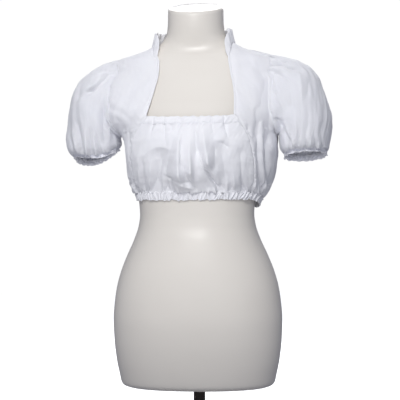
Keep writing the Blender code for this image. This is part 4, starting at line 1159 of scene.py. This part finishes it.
def make_hem_casing():
    """The elastic casing at the hem, crinkled all round."""
    turn = 2 * np.pi * np.arange(HEM_FINE_COLUMNS) / HEM_FINE_COLUMNS
    angles, heights = np.meshgrid(turn, stretch_rows(HEM, HEM + HEM_CASING, HEM_FINE_ROWS))
    surface, normals = cloth_point(angles, heights), cloth_normal(angles, heights)
    across, along, span = band_walk(surface)
    relief = crinkled_band(across, along, span, HEM_FLUTES, 51, HEM_RISE)
    middle = surface + (FOLDED_SHELL / 2 + HEM_CLEAR + relief)[..., None] * normals
    middle[..., 2] += ragged_edges(across, along, HEM_RAGGED, 52)
    rows = [closed_stitches("hem_stitching_" + word, middle[r], normals[r])
            for word, r in (("low", 2), ("high", HEM_FINE_ROWS - 2))]
    cloth_piece("hem_elastic_casing", "hem_casing", middle, normals, True,
                thickness=FOLDED_SHELL)


def closed_stitches(name, points, normals):
    points, normals = np.concatenate([points, points[:1]]), np.concatenate([normals, normals[:1]])
    return stitch_row(name, points + (FOLDED_SHELL / 2 + STITCH_LIFT) * normals, normals)


def armhole_loop(side):
    """The sleeve's first ring, along the armhole's edge, and the directions in which it leaves."""
    tip = LEFT_SHOULDER_TIP if side == LEFT else SHOULDER_TIP
    middle, half = (UNDERARM + tip) / 2, (tip - UNDERARM) / 2
    heights = middle - half * np.cos(np.pi * np.arange(SLEEVE_HALF_COLUMNS + 1) / SLEEVE_HALF_COLUMNS)
    back = armhole_angle(heights, side)[::-1]
    front = -armhole_angle(heights, side)[1:-1]
    angles = mirrored(np.concatenate([back, front]), side)
    rows = np.concatenate([heights[::-1], heights[1:-1]])
    normals = cloth_normal(angles, rows)
    edge = cloth_point(angles, rows) + SEAM_LEVEL * normals
    leaving = normals + HEAD_OUTWARDS * np.array([side, 0, 0])
    leaving[:, 2] -= HEAD_DOWNWARDS * np.clip(normals[:, 2], 0, 1)
    return edge, unit(leaving), normals


def sleeve_rings(side, sections, columns, count):
    """The sections as rings, with smooth ones between them, from the outer end round by the back."""
    turn = 2 * np.pi * np.arange(columns) / columns
    smooth = smooth_table([(k, *row) for k, row in enumerate(sections)])
    rings = []
    for row in smooth(np.linspace(0, len(sections) - 1, count)):
        outer_x, outer_z, inner_x, inner_z, front, back, drop, bow, sag, skew = row
        outer, inner = np.array([outer_x, 0, outer_z]), np.array([inner_x, 0, inner_z])
        depth = np.where(np.sin(turn) > 0, back, front) * np.sin(turn)
        ring = (outer + inner) / 2 + np.cos(turn)[:, None] * (outer - inner) / 2
        ring = ring + depth[:, None] * np.array([0, 1, 0])
        ring[:, 0] += bow * np.sin(turn) ** 2
        ring[:, 2] -= drop * (1 + np.sin(turn)) / 2
        ring[:, 2] -= (sag * np.sin(turn) + skew * np.cos(turn)) * np.sin(turn)
        ring[:, 0] *= side
        rings.append(ring)
    return np.array(rings)


def sleeve_head(loop, leaving, rings):
    """Rings that bend smoothly from the armhole to the sleeve's first section."""
    onward = unit(rings[1] - rings[0])
    reach = np.linalg.norm(rings[0] - loop, axis=1, keepdims=True)
    head = []
    for step in range(HEAD_RINGS):
        t = step / HEAD_RINGS
        ring = (1 + 2 * t) * (1 - t) ** 2 * loop + t * t * (3 - 2 * t) * rings[0]
        head.append(ring + t * (1 - t) ** 2 * reach * leaving + t * t * (t - 1) * reach * onward)
    return np.array(head)


def towards_cloth(loop, upright):
    """Along the cloth, away from the armhole, so that the sleeve's edge tucks under a panel's."""
    onward = unit(np.roll(loop, -1, axis=0) - np.roll(loop, 1, axis=0))
    away = unit(np.cross(onward, upright))
    return away if (away * (loop - loop.mean(axis=0))).sum() > 0 else -away


def in_plane_normals(ring):
    """Normals of a ring within its own plane, pointing away from its middle."""
    middle = ring.mean(axis=0)
    axis = unit(np.cross(ring[0] - middle, ring[len(ring) // 4] - middle))
    normals = unit(np.cross(np.roll(ring, -1, axis=0) - np.roll(ring, 1, axis=0), axis))
    return normals if ((ring - middle) * normals).sum() > 0 else -normals


def tube_normals(rings, side):
    across = np.roll(rings, -1, axis=1) - np.roll(rings, 1, axis=1)
    return unit(np.cross(across, np.gradient(rings, axis=0))) * -side


def make_sleeve(side, sections, folds):
    """A puff sleeve: pleats from the top of the armhole, and gathers above the cuff."""
    loop, leaving, upright = armhole_loop(side)
    rings = sleeve_rings(side, sections, len(loop), SLEEVE_RINGS)
    rings = np.concatenate([sleeve_head(loop, leaving, rings), rings])
    tucked = loop + SEAM_TUCK * towards_cloth(loop, upright) - SEAM_LEVEL * upright
    lowest = rings[-1] + SLEEVE_OVERLAP * unit(rings[-1] - rings[-2])
    rings = np.concatenate([tucked[None], rings, lowest[None]])
    normals = tube_normals(rings, side)
    normals[-1] = in_plane_normals(rings[-1])
    across, along = walked_across(rings), walked_along(rings)
    span = across[:, -1:].max()
    turn = 2 * np.pi * np.arange(len(loop)) / len(loop)
    around = turn[None, :] / (2 * np.pi) * span * np.ones_like(across)
    front = ramp(-normals[..., 1], *FACING)
    behind = ramp(normals[..., 1], *FACING)
    relief = fold_field(rings[..., 0], rings[..., 2], folds) * front
    stretch, shift, lift = BACK_SHIFT
    shifted = fold_field(rings[..., 0] * stretch - side * shift, rings[..., 2] - lift, folds)
    relief += shifted * behind * ramp(along, *BACK_FOLDS_RISE)
    hidden = 1 - HIDDEN_GATHERS * ramp(-normals[..., 1], *TURNED_AWAY)
    top_half = ramp(np.cos(turn), -0.3, 0.4)[None, :]
    name = SIDE_NAMES[side]
    relief += gather_field(around, along, span, "sleeve_head", 60 + side, closed=True) * top_half * hidden
    end = along[-1:] - along
    relief += gather_field(around, end, span, "sleeve_end", 64 + side, closed=True) * (0.35 + 0.65 * hidden)
    overhang = np.exp(-(((end - OVERHANG_AT) / OVERHANG_REACH) ** 2))
    reach = np.where(normals[..., 1] < 0, FRONT_OVERHANG[side], BACK_OVERHANG)
    relief += overhang * reach * np.abs(normals[..., 1])
    large, large_height, fine, fine_height = SLEEVE_UNEVENNESS
    relief += large_height * soft_unevenness(around, along, large, 66 + side)
    relief += fine_height * soft_unevenness(around, along, fine, 68 + side)
    relief = relief * ramp(along, 0, HEAD_FADE) * (0.35 + 0.65 * ramp(end, 0, 0.006))
    size, height, pucker_reach = HEAD_PUCKER
    puckers = soft_unevenness(around, along * 0, size, 70 + side)
    relief += height * puckers * np.exp(-((along / pucker_reach) ** 2))
    shallow, deeper, start, full = SLEEVE_VALLEY
    relief = np.maximum(relief, -shallow - deeper * ramp(along, start, full))
    middle = rings + relief[..., None] * normals
    cloth_piece("puff_sleeve_" + name, "sleeve_" + name, middle, normals, True,
                finish=sleeve_cotton)


def make_cuff(side, sections):
    """The narrow elastic cuff, crinkled, with a ragged lower edge."""
    name = SIDE_NAMES[side]
    rings = sleeve_rings(side, sections, CUFF_FINE_COLUMNS, CUFF_FINE_RINGS)
    inside = rings[0] + CUFF_TUCK * unit(rings[0] - rings[1]) - CUFF_INSIDE * in_plane_normals(rings[0])
    rings = np.concatenate([inside[None], rings])
    normals = tube_normals(rings, side)
    normals[0], normals[-1] = in_plane_normals(rings[0]), in_plane_normals(rings[-1])
    across, along, span = band_walk(rings)
    relief = crinkled_band(across, along, span, CUFF_FLUTES, 80 + side, CUFF_RISE)
    relief = relief * ramp(along, CUFF_TUCK / 2, CUFF_TUCK + 0.001)
    middle = rings + relief[..., None] * normals
    middle[..., 2] += ragged_edges(across, along, CUFF_RAGGED, 82 + side)
    stitched = CUFF_FINE_RINGS - 2
    row = closed_stitches("cuff_stitching_" + name, middle[stitched], normals[stitched])
    cloth_piece("elastic_cuff_" + name, "cuff_" + name, middle, normals, True,
                thickness=FOLDED_SHELL, finish=sleeve_cotton)


def neck_path():
    """Fine points along the neck edge, from the right corner of the neckline up round the back of
    the neck and down to the left corner."""
    low, high = CLOTH_ROWS[CORNER_ROW] - BINDING_TUCK, CLOTH_ROWS[-1]
    rows = stretch_rows(low, high, NECK_SIDE_STEPS)
    left = angle_at(neck_distance(rows, LEFT), rows)
    right = math.pi - angle_at(neck_distance(rows, RIGHT), rows)
    behind = np.linspace(right[-1], left[-1], NECK_BACK_STEPS + 1)[1:-1]
    angles = np.concatenate([right, behind, left[::-1]])
    heights = np.concatenate([rows, np.full(len(behind), high), rows[::-1]])
    return angles, heights


def make_collar():
    """One band: a narrow binding up each neck edge that grows into a frilled stand at the back."""
    angles, heights = neck_path()
    base, normals = cloth_point(angles, heights), cloth_normal(angles, heights)
    onward = unit(np.gradient(base, axis=0))
    inwards = unit(np.cross(normals, onward))
    if inwards[len(inwards) // 2][2] < 0:
        inwards = -inwards
    standing = ramp(heights, *COLLAR_START)
    behind = np.clip(np.sin(angles), 0, 1) ** 0.7
    height = BINDING_WIDTH + standing * (COLLAR_HEIGHT + COLLAR_RISE_BEHIND * behind)
    lean_side, lean_back = -COLLAR_LEAN_SIDE * np.cos(angles), -COLLAR_LEAN_BACK * np.sin(angles)
    lean = unit(np.stack([lean_side, lean_back, np.ones_like(angles)], axis=1))
    rise = unit(inwards * (1 - standing)[:, None] + lean * standing[:, None])
    across = unit(np.cross(onward, rise))
    if (across * normals).sum() < 0:
        across = -across
    steps = np.linalg.norm(np.diff(base, axis=0), axis=1)
    walked, whole = (np.concatenate([[0], np.cumsum(run)]) for run in (standing[1:] * steps, steps))
    turn = 2 * np.pi * walked / walked[-1]
    swing = 0.35 * np.sin(turn * 5.3) + 0.25 * np.sin(turn * 8.1)
    frill = np.sin(COLLAR_WAVES * turn + swing * 2.4) * standing
    fine = soft_unevenness(whole, whole * 0, 0.010, 91) * (0.4 + 0.6 * standing)
    levels = stretch_rows(0, 1, COLLAR_FINE_ROWS)
    start = base + (CLOTH / 2 * (1 + 0.5 * standing))[:, None] * normals
    middle = np.array([start + level * height[:, None] * rise for level in levels])
    spread = COLLAR_FINE_FRILL * levels[:, None, None] ** 1.3
    middle = middle + spread * frill[:, None] * across
    middle = middle + 0.0004 * np.sin(np.pi * levels)[:, None, None] * fine[:, None] * across
    middle[..., 2] += 0.0009 * levels[:, None] ** 2 * fine * standing
    side = np.broadcast_to(across, middle.shape)
    row = stitch_row("binding_stitching", middle[2] + 0.0006 * across, across)
    cloth_piece("frilled_collar", "collar", middle, side, False)


def lathe(name, profile, columns, centre, node, finish):
    """A turned solid from a profile of radius and height."""
    angles = 2 * np.pi * np.arange(columns) / columns
    points = [(centre[0] + radius * math.cos(a), centre[1] + radius * math.sin(a), height)
              for radius, height in profile for a in angles]
    mesh = bpy.data.meshes.new(name)
    mesh.from_pydata(points, [], capped_rings(len(profile), columns))
    made = finished_object(name, mesh)
    mesh.set_sharp_from_angle(angle=math.radians(40))
    return dress(made, node, finish)


def make_stand():
    edge = [(BASE_RADIUS - BASE_EDGE * (1 - math.sin(t)), BASE_THICKNESS - BASE_EDGE * (1 - math.cos(t)))
            for t in np.linspace(math.pi / 2, 0, 6)]
    foot = BASE_RADIUS - BASE_EDGE
    flat = [(0.05, BASE_THICKNESS), (0.02, BASE_THICKNESS)]
    profile = [(foot, 0.0), (BASE_RADIUS, BASE_EDGE)] + edge + flat
    lathe("round_base", profile, 128, (0, 0), "base_plate", painted)
    top = FORM_LEVEL + FORM_SECTIONS[0][0] - GAP
    low = BASE_THICKNESS + GAP
    tube = [(POLE_RADIUS, low), (POLE_RADIUS, top)]
    lathe("short_pole", tube, 64, (0, POLE_BEHIND), "pole", dark_steel)


def make_floor():
    bpy.ops.mesh.primitive_circle_add(vertices=96, radius=FLOOR_RADIUS, fill_type="NGON",
                                      location=(0, 0, -0.0005))
    ground = bpy.context.object
    ground.visible_diffuse = ground.visible_glossy = False
    ground.name = "studio_floor"
    ground.data.materials.append(floor_material())


def soft_light(name, place, aim, size, power, seen=True):
    light = bpy.data.lights.new(name, "AREA")
    light.shape, light.size, light.size_y, light.energy = "RECTANGLE", size[0], size[1], power
    made = bpy.data.objects.new(name, light)
    made.location = place
    made.rotation_euler = (Vector(aim) - Vector(place)).to_track_quat("-Z", "Y").to_euler()
    made.visible_camera = seen
    bpy.context.scene.collection.objects.link(made)


def make_studio():
    """A white room: white to the camera, softer as light, with a softbox above the front."""
    world = bpy.data.worlds.new("white_studio")
    bpy.context.scene.world = world
    world.use_nodes = True
    nodes, links = world.node_tree.nodes, world.node_tree.links
    nodes.clear()
    output = nodes.new("ShaderNodeOutputWorld")
    mix = nodes.new("ShaderNodeMixShader")
    path = nodes.new("ShaderNodeLightPath")
    room, backdrop = nodes.new("ShaderNodeBackground"), nodes.new("ShaderNodeBackground")
    set_inputs(room, {"Color": (*ROOM_COLOUR, 1), "Strength": ROOM_STRENGTH})
    set_inputs(backdrop, {"Color": (1, 1, 1, 1), "Strength": BACKDROP_STRENGTH})
    links.new(path.outputs["Is Camera Ray"], mix.inputs["Fac"])
    links.new(room.outputs["Background"], mix.inputs[1])
    links.new(backdrop.outputs["Background"], mix.inputs[2])
    links.new(mix.outputs["Shader"], output.inputs["Surface"])
    for row in LIGHTS:
        soft_light(*row)
    scene = bpy.context.scene
    scene.view_settings.view_transform = "Standard"
    scene.view_settings.look = "None"


def make_camera():
    lens = bpy.data.cameras.new("photo_view")
    lens.sensor_width = SENSOR
    lens.lens = SENSOR * CAMERA_DISTANCE / FRAME_SIDE
    made = bpy.data.objects.new("photo_view", lens)
    out = Vector((math.sin(CAMERA_AZIMUTH), -math.cos(CAMERA_AZIMUTH), 0))
    right = Vector((math.cos(CAMERA_AZIMUTH), math.sin(CAMERA_AZIMUTH), 0))
    made.location = Vector((0, 0, CAMERA_AIM[1])) + CAMERA_AIM[0] * right + CAMERA_DISTANCE * out
    turn = out.to_track_quat("Z", "Y").to_matrix().to_4x4() @ Matrix.Rotation(CAMERA_ROLL, 4, "Z")
    made.rotation_euler = turn.to_euler()
    bpy.context.scene.collection.objects.link(made)
    bpy.context.scene.camera = made


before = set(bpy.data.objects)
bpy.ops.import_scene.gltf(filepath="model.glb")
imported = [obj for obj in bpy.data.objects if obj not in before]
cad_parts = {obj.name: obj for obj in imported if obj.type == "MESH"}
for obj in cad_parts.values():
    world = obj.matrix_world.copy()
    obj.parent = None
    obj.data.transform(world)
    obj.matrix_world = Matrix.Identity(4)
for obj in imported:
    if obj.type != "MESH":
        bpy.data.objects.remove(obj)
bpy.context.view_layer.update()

cotton = cotton_material("white_cotton_body", COTTON_COOL, COTTON_WARM, BODY_TRANSLUCENCY)
sleeve_cotton = cotton_material("white_cotton_sleeves", SLEEVE_COOL, SLEEVE_WARM, SLEEVE_TRANSLUCENCY)
thread = thread_material()
form_lacquer = shell_material("form_lacquer", FORM_DARK, FORM_LIGHT)
# Darker grey for the neck top: painted shade.
painted_shade_neck_finish = shell_material("neck_top_painted_shade", CAP_PAINTED_SHADE_DARK, CAP_PAINTED_SHADE_LIGHT)
painted = metal_material("painted_base", BASE_DARK, BASE_LIGHT, 0.45, 0.0, (1, 1, 1))
dark_steel = metal_material("dark_pole", POLE_DARK, POLE_LIGHT, 0.35, 0.8, (1, 1, 0.1))

make_form()
make_front_middle()
make_front_casing()
for side in (LEFT, RIGHT):
    make_front_side(side)
make_back()
make_hem_casing()
make_collar()
for side, sleeve, cuff, folds in ((LEFT, LEFT_SLEEVE, LEFT_CUFF, LEFT_SLEEVE_FOLDS),
                                  (RIGHT, RIGHT_SLEEVE, RIGHT_CUFF, RIGHT_SLEEVE_FOLDS)):
    make_sleeve(side, sleeve, folds)
    make_cuff(side, cuff)
make_stand()
make_floor()
make_studio()
make_camera()
